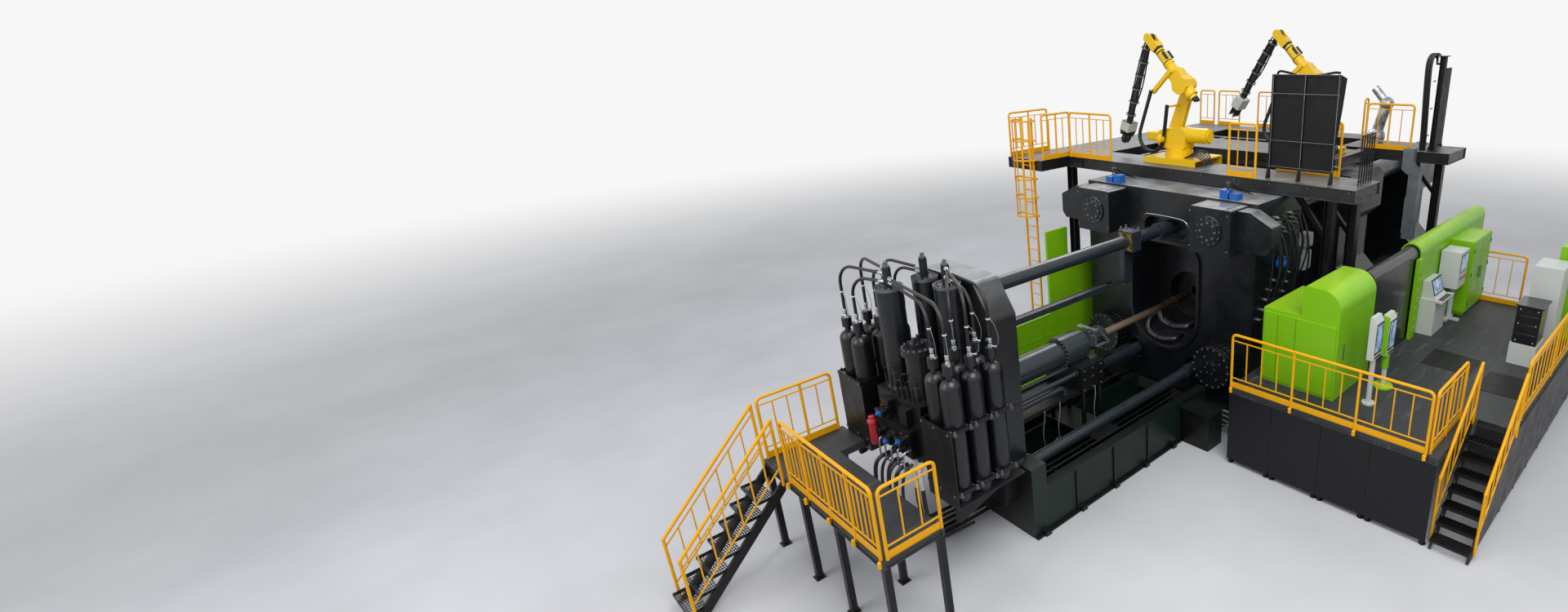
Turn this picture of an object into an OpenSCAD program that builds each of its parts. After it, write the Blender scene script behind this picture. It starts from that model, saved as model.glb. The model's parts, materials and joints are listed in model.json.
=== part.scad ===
/* [Bed and clamp base] */
// Start of the bed, at the shot end of the machine
bed_start = -5060; // [-5400:10:-4900]
// Half of the bed's width over its side walls
bed_half_w = 1380; // [1340:10:1500]
// Height of the bed's side walls
bed_h = 860; // [800:10:1000]
// Thickness of the bed's side and end walls
bed_wall = 90; // [60:5:120]
// Height of the seat that the injection plate stands on
bed_seat_h = 600; // [450:10:700]
// Height of the bed's end blocks beside the injection plate
bed_cheek_h = 1300; // [1100:10:1400]
// Height of the ways that the platens stand on
way_h = 350; // [250:10:450]
// Length of the clamp base behind the machine origin
clamp_len = 11500; // [11200:50:12500]

/* [Injection unit] */
// Distance from the bed's start to the outer face of the injection plate
plate_overhang = 240; // [120:10:400]
// Thickness of the injection plate
plate_t = 480; // [360:10:600]
// Half of the injection plate's width
plate_half_w = 1000; // [960:10:1100]
// Top of the injection plate
plate_top = 4330; // [4200:10:4500]
// Height of the shot cylinder's axis
shot_z = 2200; // [2150:10:2250]
// Outer radius of the shot cylinder's tube
shot_r = 240; // [220:5:260]
// Bore radius of the shot cylinder
shot_bore_r = 180; // [150:5:200]
// Radius of the plunger rod
rod_r = 70; // [60:1:80]
// Travel of the plunger rod
rod_stroke = 1500; // [1200:10:1500]
// Height of the upper column tube's axis
top_tube_z = 3900; // [3850:10:3950]
// Radius of the upper column tube
top_tube_r = 125; // [80:5:140]
// Radius of the two lower columns
low_tube_r = 110; // [90:5:130]
// Height of the lower columns' axes
low_tube_z = 970; // [940:10:1010]
// Half of the distance between the lower columns
low_tube_y = 800; // [700:10:820]

/* [Accumulators] */
// Radius of a nitrogen bottle
bottle_r = 145; // [130:1:155]
// Height of a nitrogen bottle's cylindrical body
bottle_body_h = 1760; // [1600:10:1900]
// Height of the tray that the bottles stand on
tray_z = 1500; // [1450:10:1600]
// Spacing of the bottles along the machine
bottle_pitch = 360; // [340:5:370]
// Top of the hydraulic manifold block
manifold_top = 2700; // [2600:10:2900]
// Radius of the tall piston accumulators
piston_r = 200; // [170:5:215]
// Height of the tall piston accumulators
piston_h = 1600; // [1400:10:1700]
// Radius of the accumulator hoses
hose_r = 24; // [16:1:30]
// Bend radius at the middle of the accumulator hoses
hose_bend = 320; // [250:10:360]

/* [Platens] */
// Front face of the fixed platen
platen_front = 100; // [60:10:140]
// Thickness of the fixed platen
platen_t = 1700; // [1500:10:1800]
// Half of the platens' width
platen_half_w = 2150; // [2120:10:2300]
// Top of the fixed platen
platen_top = 4680; // [4660:5:4685]
// Distance of the tie bars from the machine's centre plane
tie_y = 1470; // [1420:10:1500]
// Height of the tie bar pattern's centre
tie_mid_z = 2750; // [2700:10:2760]
// Half of the height between the lower and the upper tie bars
tie_half_z = 1450; // [1400:10:1470]
// Radius of the tie bars
tie_r = 240; // [200:5:260]
// Distance between the fixed and the moving platen
die_space = 2800; // [2400:10:3000]
// Thickness of the moving platen
moving_t = 1600; // [1400:10:1700]
// Distance between the moving and the rear platen
toggle_space = 2500; // [2300:10:2700]
// Thickness of the rear platen
rear_t = 1400; // [1200:10:1500]

/* [Service platforms] */
// Height of the service platforms' walking surface
deck_z = 1600; // [1500:10:1700]
// Thickness of the platform decks
deck_t = 120; // [80:5:150]
// Height of the handrails over their deck
rail_h = 1060; // [1000:10:1200]
// Height of the toe boards
toe_h = 110; // [80:5:140]
// Outer radius of the handrail tubes
rail_r = 24; // [20:1:28]
// Bend radius of the handrails' corners
rail_bend = 80; // [60:5:100]
// Largest gap between balusters
baluster_gap = 300; // [200:10:400]
// Width of a baluster
baluster_w = 18; // [14:1:24]
// Outer end of the shot end platform
rear_x0 = -7860; // [-8000:10:-7700]
// Inner edge of the shot end platform
rear_x1 = -6950; // [-7050:10:-6950]
// Half of the shot end platform's width
rear_half_w = 1800; // [1780:10:1900]
// Number of steps in each flight
stair_steps = 8; // [7:1:9]
// Horizontal run of the stairs
stair_run = 1600; // [1500:10:1650]
// Front edge of the operator platform
op_x0 = -1200; // [-1300:10:-1150]
// Rear edge of the operator platform
op_x1 = 6300; // [6250:10:6600]
// Inner edge of the operator platform
op_y1 = -2500; // [-2550:10:-2450]
// Outer edge of the operator platform beside the stair
op_y0 = -6150; // [-6200:10:-6100]
// Width of the stairs
stair_w = 640; // [600:10:700]

/* [Operator guard] */
// Front face of the guards, towards the operator
guard_y = -4170; // [-4220:10:-4120]
// Height of the guards' rounded top
guard_top = 3580; // [3500:10:3700]
// Depth of the rounded housing that the door runs in
housing_w = 420; // [380:10:460]
// Start of the sliding door
door_x0 = 930; // [930:10:980]
// Length of the sliding door
door_len = 2200; // [2150:10:2250]
// Travel of the sliding door
door_stroke = 2100; // [1800:10:2150]

/* [Top platform] */
// Height of the top platform's walking surface
top_z = 4950; // [4930:5:5000]
// Depth of the top platform's steel sections
top_beam_h = 250; // [200:10:250]
// Height of the spray screens
screen_h = 1750; // [1600:10:1850]

/* [Robots] */
// Height of the robots' pedestals
pedestal_h = 130; // [100:5:160]
// Distance between a robot's shoulder and elbow
arm_len = 1240; // [1200:5:1280]
// Backward lean of the robots' lower arms, in degrees
arm_lean = 20; // [16:1:22]
// Distance between a robot's elbow and wrist
forearm_len = 1365; // [1320:5:1400]
// Rise of the robots' forearms, in degrees
forearm_rise = 46; // [43:1:49]
// Distance between the ladling robot's wrist and its gripper
ladle_reach = 2000; // [1900:10:2050]
// Distance between the spraying robot's wrist and its spray head
spray_reach = 1750; // [1650:10:1850]

/* [Hidden] */
$fn = 48;

black = "#2a2c2f";
dark = "#202224";
tube_grey = "#4a5058";
green = "#7db41e";
amber = "#e8a80f";
yellow = "#f2c511";
pale = "#c9ccc9";
rubber = "#151515";

// Radial gap of running fits, gap between seated pieces, overlap of fused shapes
run_gap = 0.5;
seat_gap = 0.3;
eps = 1;

bed_end = platen_front - 400;
bed_floor = 40;
plate_x0 = bed_start - plate_overhang;
plate_x1 = plate_x0 + plate_t;
platen_back = platen_front + platen_t;
moving_x0 = platen_back + die_space;
moving_x1 = moving_x0 + moving_t;
rear_plat_x0 = moving_x1 + toggle_space;
rear_plat_x1 = rear_plat_x0 + rear_t;
top_under = top_z - top_beam_h;

// Shared shapes

module box(x0, x1, y0, y1, z0, z1) {
  translate([x0, y0, z0]) cube([x1 - x0, y1 - y0, z1 - z0]);
}

module both_sides() {
  children();
  mirror([0, 1, 0]) children();
}

module x_rod(r, x0, x1) {
  translate([x0, 0, 0]) rotate([0, 90, 0]) cylinder(r = r, h = x1 - x0);
}

module y_rod(r, y0, y1) {
  translate([0, y0, 0]) rotate([-90, 0, 0]) cylinder(r = r, h = y1 - y0);
}

// An outline in the YZ plane, drawn out along X
module along_x(x0, x1) {
  translate([x0, 0, 0]) rotate([90, 0, 90]) linear_extrude(x1 - x0) children();
}

// An outline in the XZ plane, drawn out along Y
module along_y(y0, y1) {
  translate([0, y1, 0]) rotate([90, 0, 0]) linear_extrude(y1 - y0) children();
}

function unit(v) = v / norm(v);

// An outline with rounded corners; a radius of 0 keeps its corner sharp
module soft_outline(pts, radii) {
  n = len(pts);
  function toward(i, j) = unit(pts[(i + j + n) % n] - pts[i]);
  function half_angle(i) = acos(toward(i, -1) * toward(i, 1)) / 2;
  polygon([for (i = [0 : n - 1]) each radii[i] == 0 ? [pts[i]]
    : [for (j = [-1, 1]) pts[i] + toward(i, j) * radii[i] / tan(half_angle(i))]]);
  for (i = [0 : n - 1]) if (radii[i] > 0)
    translate(pts[i] + unit(toward(i, -1) + toward(i, 1)) * radii[i] / sin(half_angle(i)))
      circle(r = radii[i]);
}

// A link with a round end of radius r1 at the origin and one of radius r2 at its far end
module link(r1, r2, span) {
  a = asin((r1 - r2) / span);
  circle(r = r1);
  translate([0, span]) circle(r = r2);
  polygon([[r1 * cos(a), r1 * sin(a)], [r2 * cos(a), span + r2 * sin(a)],
           [-r2 * cos(a), span + r2 * sin(a)], [-r1 * cos(a), r1 * sin(a)]]);
}

// A platform section: a plate on a frame of channels, with beams across it where posts stand
module deck_slab(x0, x1, y0, y1, top, depth, beams = []) {
  flange = 16;
  web = 40;
  bays = ceil((x1 - x0) / 1500);
  difference() {
    box(x0, x1, y0, y1, top - depth, top);
    box(x0 + web, x1 - web, y0 + web, y1 - web, top - depth - eps, top - flange);
    for (y = [y0 - eps, y1 - web / 2]) box(x0 + web, x1 - web, y, y + web / 2 + eps, top - depth + flange, top - flange);
    for (x = [x0 - eps, x1 - web / 2]) box(x, x + web / 2 + eps, y0 + web, y1 - web, top - depth + flange, top - flange);
  }
  for (y = beams) box(x0 + web - eps, x1 - web + eps, y - web / 2, y + web / 2, top - depth, top - flange + eps);
  if (bays > 1) for (i = [1 : bays - 1])
    box(x0 + i * (x1 - x0) / bays, x0 + i * (x1 - x0) / bays + web, y0 + web - eps, y1 - web + eps, top - depth, top - flange + eps);
}

// An upright of H section with a foot plate and a head plate
module h_post(x, y, z0, z1, size = 180) {
  flange = 16;
  plate = 20;
  half = size / 2;
  translate([x, y, 0]) {
    for (s = [-half, half - flange]) box(-half, half, s, s + flange, z0, z1);
    box(-flange / 2, flange / 2, -half + eps, half - eps, z0, z1);
    for (z = [z0, z1 - plate]) box(-half - 40, half + 40, -half - 40, half + 40, z, z + plate);
  }
}

// Handrails

bar_drop = 150;
kick_gap = 180;

// A handrail that starts at the origin and runs along +X, with posts between its ends
module rail_panel(length, posts = [], h = rail_h, gap = baluster_gap) {
  top = h - rail_r;
  stops = concat([rail_r], posts, [length - rail_r]);
  half = baluster_w / 2;
  for (x = [rail_r, length - rail_r]) translate([x, 0, 0]) cylinder(r = rail_r, h = top - rail_bend);
  for (end = [[rail_r + rail_bend, 90], [length - rail_r - rail_bend, 0]])
    translate([end[0], 0, top - rail_bend]) rotate([90, 0, 0]) rotate([0, 0, end[1]])
      rotate_extrude(angle = 90) translate([rail_bend, 0]) circle(r = rail_r);
  translate([0, 0, top]) x_rod(rail_r, rail_r + rail_bend, length - rail_r - rail_bend);
  for (x = posts) translate([x, 0, 0]) cylinder(r = rail_r - 2, h = top);
  for (z = [kick_gap, h - bar_drop]) box(rail_r, length - rail_r, -half, half, z, z + baluster_w);
  box(rail_r, length - rail_r, -half / 2, half / 2, 0, toe_h);
  for (i = [0 : len(stops) - 2]) {
    span = stops[i + 1] - stops[i];
    count = ceil(span / gap);
    if (count > 1) for (j = [1 : count - 1])
      translate([stops[i] + j * span / count, 0, 0])
        box(-half, half, -half, half, kick_gap + half, h - bar_drop + half);
  }
}

// A handrail beside a flight that starts at the origin and goes down along +X
module stair_rail(x0, x1, rise, run) {
  slope = rise / run;
  half = baluster_w / 2;
  bar = 3 * half;
  low_drop = 800;
  count = ceil((x1 - x0) / (0.75 * baluster_gap));
  function axis_z(x) = rail_h - rail_r - slope * x;
  translate([x0, 0, axis_z(x0)]) rotate([0, 90 + atan(slope), 0])
    cylinder(r = rail_r, h = (x1 - x0) * sqrt(1 + slope * slope));
  for (x = [x0, x1]) translate([x, 0, 0]) {
    translate([0, 0, axis_z(x)]) sphere(r = rail_r + 2);
    translate([0, 0, axis_z(x) - rail_h - 40]) cylinder(r = rail_r - 2, h = rail_h + 40);
  }
  for (drop = [bar_drop, low_drop]) along_y(-half, half)
    polygon([for (p = [[x0, 0], [x1, 0], [x1, bar], [x0, bar]]) [p[0], axis_z(p[0]) - drop + p[1]]]);
  for (i = [1 : count - 1]) translate([x0 + i * (x1 - x0) / count, 0, 0])
    box(-half, half, -half, half, axis_z(x0 + i * (x1 - x0) / count) - low_drop + bar / 2,
        axis_z(x0 + i * (x1 - x0) / count) - bar_drop + bar / 2);
}

// A flight that starts at the top edge at the origin and goes down along +X
module stair_flight(run, rise, width, board = 12) {
  going = run / stair_steps;
  drop = rise / stair_steps;
  lip = 40;
  skin = 6;
  for (y = [0, width - board]) along_y(y, y + board)
    polygon([[0, 0], [run, -rise], [run - going, -rise], [0, -going * rise / run]]);
  for (i = [1 : stair_steps - 1]) translate([i * going - 30, 0, -i * drop])
    along_y(board + seat_gap, width - board - seat_gap)
      polygon([[0, 0], [0, -lip], [skin, -lip], [skin, -skin], [going + 60 - skin, -skin],
               [going + 60 - skin, -lip], [going + 60, -lip], [going + 60, 0]]);
}

// Bed of the injection unit
module base_frame() color(black) {
  cheek_len = 310;
  lip = 180;
  difference() {
    box(bed_start, bed_end, -bed_half_w, bed_half_w, 0, bed_h);
    box(bed_start + bed_wall, bed_end + eps, -bed_half_w + bed_wall, bed_half_w - bed_wall, bed_floor, bed_h + eps);
    box(bed_start - eps, bed_start + bed_wall + eps, -plate_half_w - run_gap, plate_half_w + run_gap, bed_seat_h, bed_h + eps);
  }
  both_sides() {
    box(bed_start, bed_start + cheek_len, plate_half_w + run_gap, bed_half_w, bed_floor, bed_cheek_h);
    box(bed_start + cheek_len - eps, bed_end, bed_half_w - lip, bed_half_w - bed_wall + eps, bed_h - 30, bed_h);
    box(bed_start + bed_wall - eps, bed_end, 430, 490, bed_floor - eps, bed_seat_h);
    box(bed_start, bed_end, bed_half_w - eps, bed_half_w + 60, 0, 30);
    for (i = [0 : 5]) box(bed_start + 150 + i * 850, bed_start + 270 + i * 850, bed_half_w - eps, bed_half_w + 100, 0, 75);
    for (i = [1 : 4]) box(bed_start + i * 950, bed_start + i * 950 + 40, bed_half_w - eps, bed_half_w + 25, 29, bed_h - 60);
  }
  box(plate_x1 - 200, plate_x1, -bed_half_w + bed_wall - eps, bed_half_w - bed_wall + eps, bed_floor - eps, bed_seat_h);
  box(-1160, -700, -2050, -bed_half_w + eps, 0, 750);
  box(-1190, -670, -2080, -bed_half_w + eps, 750 - eps, 765);
}

// Base under the platens and the toggle
module clamp_base() color(black) {
  foot = 60;
  both_sides() along_x(bed_end, clamp_len)
    polygon([[1000, 0], [1700 + foot, 0], [1700 + foot, foot], [1700, foot], [1700, way_h], [1000, way_h]]);
  for (x = [bed_end, moving_x0 - 900, rear_plat_x0 - 200, clamp_len - 700])
    box(x, x + 700, -1000 - eps, 1000 + eps, 0, way_h - 60);
}

low_pocket = 300;

// Upright plate that carries the shot cylinder and the columns
module injection_plate() color(black) {
  shoulder_z = plate_top - 530;
  crown_half_w = plate_half_w - 360;
  difference() {
    along_x(plate_x0, plate_x1) soft_outline(
      [[-plate_half_w, bed_seat_h], [plate_half_w, bed_seat_h], [plate_half_w, shoulder_z],
       [crown_half_w, plate_top], [-crown_half_w, plate_top], [-plate_half_w, shoulder_z]],
      [0, 0, 120, 120, 120, 120]);
    translate([0, 0, shot_z]) x_rod(shot_bore_r + 30, plate_x0 - eps, plate_x1 + eps);
  }
  both_sides() translate([plate_x1 - eps, low_tube_y, low_tube_z]) rotate([0, 90, 0])
    cylinder(r1 = low_tube_r + 90, r2 = low_tube_r + 50, h = 250);
  translate([0, 0, top_tube_z]) x_rod(top_tube_r + 70, plate_x1 - eps, plate_x1 + 60);
}

top_pocket = 260;
clamp_x0 = -1140;
clamp_x1 = -890;

// The three column tubes, with the clamp and the rail that hang on the upper one
module column_tubes() color(tube_grey) {
  translate([0, 0, top_tube_z]) {
    x_rod(top_tube_r, plate_x1 + 60 + seat_gap, platen_front + top_pocket);
    x_rod(top_tube_r + 40, platen_front - 280, platen_front + top_pocket);
  }
  box(clamp_x0, clamp_x1, -190, 190, top_tube_z - 190, top_tube_z + 200);
  box(clamp_x0, clamp_x1, 40, 160, 3000, top_tube_z - 190 + eps);
  box(plate_x1 + seat_gap, -1600, 60, 140, 3020, 3130);
  box(-1600 - eps, clamp_x0 + eps, 75, 125, 3045, 3095);
  both_sides() translate([0, low_tube_y, low_tube_z]) {
    x_rod(low_tube_r, plate_x1 + 250, platen_front + low_pocket);
    x_rod(low_tube_r + 30, platen_front - 380, platen_front + low_pocket);
  }
}

head_x0 = -3100;
head_x1 = -2550;
head_r = shot_r + 65;
gland_x1 = -1880;

// Shot cylinder with its head ring and gland
module shot_cylinder() color(tube_grey) {
  translate([0, 0, shot_z]) difference() {
    union() {
      x_rod(shot_r + 30, plate_x1, plate_x1 + 90);
      x_rod(shot_r, plate_x1 + 90 - eps, head_x0 + eps);
      x_rod(head_r, head_x0, head_x1);
      x_rod(head_r - 105, head_x1 - eps, -1950);
      x_rod(rod_r + 70, -1950 - eps, gland_x1);
    }
    x_rod(shot_bore_r, plate_x1 - eps, head_x1 - 150);
    x_rod(rod_r + run_gap, head_x1 - 150 - eps, gland_x1 + eps);
  }
}

// Plunger rod with its piston and coupling
module shot_rod() color("#8a6f55") {
  translate([0, 0, shot_z]) {
    x_rod(rod_r, -3000, 960);
    x_rod(shot_bore_r - run_gap, -3100, -2900);
    x_rod(rod_r + 28, 420, 640);
  }
}

saddle_x0 = -2990;
saddle_x1 = -2370;

// Saddle under the head ring, on its legs, with the drip tray behind it
module shot_support() color(black) {
  foot_top = bed_seat_h + 60;
  difference() {
    box(saddle_x0, saddle_x1, -480, 480, shot_z - 730, shot_z - 220);
    translate([0, 0, shot_z]) x_rod(head_r + seat_gap, saddle_x0 - eps, saddle_x1 + eps);
  }
  for (x = [saddle_x0 + 90, saddle_x1 - 90]) for (y = [-430, 430])
    translate([x, y, foot_top - eps]) cylinder(r = 45, h = shot_z - 730 - foot_top + 2 * eps);
  box(saddle_x0, saddle_x1, -900, 900, bed_seat_h, foot_top);
  difference() {
    box(plate_x1 + seat_gap, saddle_x0 + eps, -440, 440, 1490, 1560);
    box(plate_x1 + seat_gap + 6, saddle_x0 - 6, -434, 434, 1496, 1560 + eps);
  }
}

// Oil pipes under the shot cylinder
module shot_pipes() color(tube_grey) {
  bend = 130;
  end_x = -3300;
  for (p = [[-215, 1975, 34, head_x0], [-370, 1880, 44, saddle_x0]]) translate([0, p[0], p[1]]) {
    x_rod(p[2], plate_x1 + seat_gap, p[3] - seat_gap);
    x_rod(p[2] + 20, p[3] - 40, p[3] - seat_gap);
  }
  translate([0, -350, 1720]) {
    x_rod(56, plate_x1 + seat_gap, end_x - bend);
    translate([end_x - bend, 0, -bend]) rotate([90, 0, 0]) rotate_extrude(angle = 90) translate([bend, 0]) circle(r = 56);
    translate([end_x, 0, 1496 + seat_gap - 1720]) cylinder(r = 56, h = 1720 - bend - 1496 - seat_gap);
  }
}

bottle_x0 = plate_x0 - 1020;
bottle_ys = [1000, 1350];
bottle_top = tray_z + bottle_body_h + bottle_r + 275;
rack_x0 = bottle_x0 - 200;

// One nitrogen bottle, standing on the origin
module gas_bottle() {
  cylinder(r = bottle_r, h = bottle_body_h);
  translate([0, 0, bottle_body_h]) sphere(r = bottle_r);
  translate([0, 0, bottle_body_h]) cylinder(r = 45, h = bottle_r + 70);
  translate([0, 0, bottle_body_h + bottle_r + 60]) cylinder(r = 78, h = 150);
  translate([0, 0, bottle_body_h + bottle_r + 200]) cylinder(r = 26, h = 75);
}

module gas_bottles() color(dark) {
  both_sides() for (i = [0 : 2]) for (y = bottle_ys)
    translate([bottle_x0 + i * bottle_pitch, y, tray_z]) gas_bottle();
}

// Trays, side panels and straps that hold the bottles
module bottle_racks() color(black) {
  y0 = bottle_ys[0] - bottle_r - 35;
  y1 = bottle_ys[1] + bottle_r + 35;
  both_sides() {
    box(rack_x0, plate_x0, y0, y1, tray_z - 30, tray_z);
    box(rack_x0, rack_x0 + 20, y0, y1, tray_z - eps, tray_z + 1200);
    box(rack_x0, plate_x0, y0, y0 + 20, tray_z - eps, tray_z + 1200);
    for (z = [tray_z + 160, tray_z + 1140]) {
      box(rack_x0, plate_x0, y1 - 20, y1, z, z + 60);
      box(rack_x0 - 10, rack_x0 + eps, y0, y1, z, z + 60);
    }
    along_y(y1 - 200, y1 - 120)
      polygon([[rack_x0 + 60, tray_z - 330], [rack_x0 + 140, tray_z - 330], [plate_x0 - 90, tray_z - 29], [rack_x0 + 60, tray_z - 29]]);
  }
}

manifold_x0 = plate_x0 - 1200;
piston_places = [[manifold_x0 + 400, 300], [plate_x0 - 200, -300], [plate_x0 - 200, 270]];

// Radius and height of the port block on an accumulator
port_r = 62;
port_h = 290;

// Piston accumulators that stand on the manifold, and the short pressure vessel before them
module piston_accumulators() color(dark) {
  for (p = piston_places) translate([p[0], p[1], manifold_top]) {
    cylinder(r = piston_r, h = piston_h);
    translate([0, 0, piston_h - eps]) cylinder(r = port_r, h = port_h);
  }
  translate([manifold_x0 + 400, -270, manifold_top]) {
    cylinder(r = piston_r - 5, h = 760);
    translate([0, 0, 700]) cylinder(r = piston_r + 45, h = 90);
    translate([0, 0, 790 - eps]) cylinder(r = 120, h = 70);
    for (a = [30, 210]) rotate([0, 0, a]) translate([60, 0, 850]) cylinder(r = 30, h = 100);
  }
}

// Stepped valve block with its port flanges
module hydraulic_manifold() color(black) {
  low = manifold_top - 1000;
  mid = manifold_top - 420;
  box(manifold_x0 + 120, plate_x0, -600, 560, low, manifold_top);
  box(manifold_x0, manifold_x0 + 121, -420, 480, low + 120, mid);
  for (y = [-250, 60, 330]) translate([0, y, mid - 210]) {
    x_rod(95, manifold_x0 - 60, manifold_x0 + eps);
    x_rod(60, manifold_x0 - 110, manifold_x0 - 59);
  }
  for (y = [-360, 120]) box(manifold_x0 + 20, manifold_x0 + 121, y, y + 200, mid + 60, manifold_top - 90);
  translate([0, -80, low + 220]) x_rod(75, manifold_x0 - 90, manifold_x0 + eps);
  box(manifold_x0 + 300, plate_x0, -480, 440, low - 160, low + eps);
}

// A hose that leaves the point a along the line to b, bends down and ends on top of b
module arch_hose(a, b, bend = 300) {
  dx = b[0] - a[0];
  dy = b[1] - a[1];
  run = sqrt(dx * dx + dy * dy);
  translate(a) rotate([0, 0, atan2(dy, dx)]) {
    rotate([0, 90, 0]) cylinder(r = hose_r, h = run - bend, $fn = 16);
    translate([run - bend, 0, -bend]) rotate([90, 0, 0]) rotate_extrude(angle = 90, $fn = 32)
      translate([bend, 0]) circle(r = hose_r, $fn = 16);
    translate([run, 0, b[2] - a[2]]) cylinder(r = hose_r, h = a[2] - b[2] - bend, $fn = 16);
  }
}

// Each hose: accumulator, bottle along the machine, bottle row, side, level of its port
hose_plan = [
  [0, 0, 0, 1, 0], [0, 1, 0, 1, 1], [0, 0, 1, 1, 2], [0, 1, 1, 1, 3], [0, 0, 0, -1, 0], [0, 0, 1, -1, 1],
  [1, 2, 0, -1, 0], [1, 1, 0, -1, 1], [1, 2, 1, -1, 2], [1, 1, 1, -1, 3], [2, 2, 0, 1, 0], [2, 2, 1, 1, 1]
];

module accumulator_hoses() color(rubber) {
  for (h = hose_plan) {
    from = piston_places[h[0]];
    to = [bottle_x0 + h[1] * bottle_pitch, h[3] * bottle_ys[h[2]]];
    heading = (to - from) / norm(to - from);
    start = from + heading * (port_r + run_gap);
    arch_hose([start[0], start[1], manifold_top + piston_h + 60 + h[4] * 2.6 * hose_r], [to[0], to[1], bottle_top], hose_bend);
  }
}

rear_y1 = rear_half_w - 80;
rear_stair_y = 960;

// Walkway at the shot end
module rear_deck() color("#3b3d3e") {
  deck_slab(rear_x0, rear_x1, -rear_half_w, rear_y1, deck_z, deck_t);
  box(rear_x1 - eps, rack_x0 - seat_gap, 1000, rear_y1, deck_z - deck_t, deck_z);
}

module rear_legs() color(black) {
  edge = 50;
  for (p = [[rear_x0 + edge, -rear_half_w + edge], [rear_x1 - edge, -rear_half_w + edge], [rear_x0 + edge, -540],
            [rear_x1 - edge, -560], [rear_x0 + edge, 500], [rear_x1 - edge, 600], [rear_x0 + edge, rear_y1 - edge],
            [rear_x1 + 350, rear_y1 - edge]]) {
    box(p[0] - 45, p[0] + 45, p[1] - 45, p[1] + 45, 0, deck_z - deck_t);
    box(p[0] - 75, p[0] + 75, p[1] - 75, p[1] + 75, 0, 15);
  }
}

// Gap from a stringer to the axis of the handrail's posts beside it
rail_side = rail_r - 2 + seat_gap;

module rear_stair() color(dark) {
  translate([rear_x0 - seat_gap, rear_stair_y + stair_w, deck_z]) rotate([0, 0, 180])
    stair_flight(stair_run, deck_z, stair_w);
}

module rear_rails() color(amber) {
  edge = 60;
  front = rear_stair_y - 160 + rear_half_w - edge;
  translate([rear_x0 + rail_r, -rear_half_w + edge, deck_z]) rotate([0, 0, 90])
    rail_panel(front, [for (i = [1 : 3]) i * front / 4], gap = baluster_gap / 2);
  translate([rear_x0 + edge, -rear_half_w + rail_r, deck_z]) rail_panel(rear_x1 - rear_x0 - edge);
  translate([rear_x0 + edge, rear_y1 - rail_r, deck_z]) rail_panel(rack_x0 - rear_x0 - 2 * edge, [700]);
  for (y = [rear_stair_y - rail_side, rear_stair_y + stair_w + rail_side])
    translate([rear_x0, y, deck_z]) rotate([0, 0, 180]) stair_rail(30, stair_run - 60, deck_z, stair_run);
}

recess_w = 850;
recess_top = 3600;
recess_mid = 2100;

// Outline of the fixed platen's front recess, widened by grow
module recess_outline(grow = 0) {
  w = recess_w + grow;
  soft_outline([[-w, recess_mid], [w, recess_mid], [w, recess_top + grow], [-w, recess_top + grow]],
               [0, 0, 350 + grow, 350 + grow]);
  translate([0, recess_mid]) circle(r = w);
}

// Horizontal slots on a platen's die face, for the die clamps
module die_slots(x, side) {
  for (z = [1500 : 450 : 3800]) {
    box(min(x, x + side * 90), max(x, x + side * 90), -1150, 1150, z, z + 36);
    box(min(x + side * 50, x + side * 90), max(x + side * 50, x + side * 90), -1150, 1150, z - 14, z + 50);
  }
}

// Bores for the four tie bars
module tie_bores(x0, x1) {
  for (y = [-tie_y, tie_y]) for (z = [tie_mid_z - tie_half_z, tie_mid_z + tie_half_z])
    translate([0, y, z]) x_rod(tie_r + run_gap, x0, x1);
}

// Fixed platen with its front recess
module fixed_platen() color(black) {
  rim = 60;
  difference() {
    union() {
      box(platen_front, platen_back, -platen_half_w, platen_half_w, way_h, platen_top);
      along_x(platen_front - rim, platen_front + eps) recess_outline(rim);
    }
    along_x(platen_front - rim - eps, platen_front + 900) recess_outline();
    translate([0, 0, shot_z]) x_rod(520, platen_front, platen_front + 1150);
    translate([0, 0, shot_z]) x_rod(rod_r + 40, platen_front, platen_back + eps);
    along_x(platen_front - eps, platen_front + top_pocket) {
      translate([-330, top_tube_z - 215]) square([660, 430]);
      for (y = [-330, 330]) translate([y, top_tube_z]) circle(r = 215);
    }
    both_sides() translate([0, low_tube_y, low_tube_z]) x_rod(230, platen_front - eps, platen_front + low_pocket);
    tie_bores(platen_front + 100, platen_back + eps);
    die_slots(platen_back + eps, -1);
  }
}

// Housings of the tie bar nuts, with their covers and side hoods
module nut_housings() color(black) {
  z = tie_mid_z + tie_half_z;
  x0 = platen_front - 580;
  both_sides() {
    along_x(x0, platen_front) soft_outline(
      [[tie_y - 440, z - 460], [tie_y + 470, z - 460], [tie_y + 470, z + 440], [tie_y - 440, z + 440]], [40, 40, 40, 40]);
    translate([0, tie_y, z]) {
      x_rod(285, x0 - 30, x0 + eps);
      x_rod(215, x0 - 45, x0 - 29);
    }
    along_x(platen_front - 350, platen_front) soft_outline(
      [[tie_y + 469, z - 350], [tie_y + 1080, z - 350], [tie_y + 1180, z - 220], [tie_y + 1180, z + 180],
       [tie_y + 730, z + 400], [tie_y + 469, z + 400]], [0, 60, 60, 30, 0, 0]);
  }
}

module tie_bar_drums() color(dark) {
  both_sides() translate([0, tie_y, tie_mid_z - tie_half_z]) {
    x_rod(415, platen_front - 350, platen_front);
    x_rod(450, platen_front - 390, platen_front - 349);
    x_rod(150, platen_front - 410, platen_front - 389);
  }
}

module tie_bars() color(tube_grey) {
  both_sides() for (z = [tie_mid_z - tie_half_z, tie_mid_z + tie_half_z]) translate([0, tie_y, z]) {
    x_rod(tie_r, platen_front + 100, rear_plat_x1 + 380);
    x_rod(tie_r + 130, rear_plat_x1 + seat_gap, rear_plat_x1 + 300);
  }
}

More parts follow.
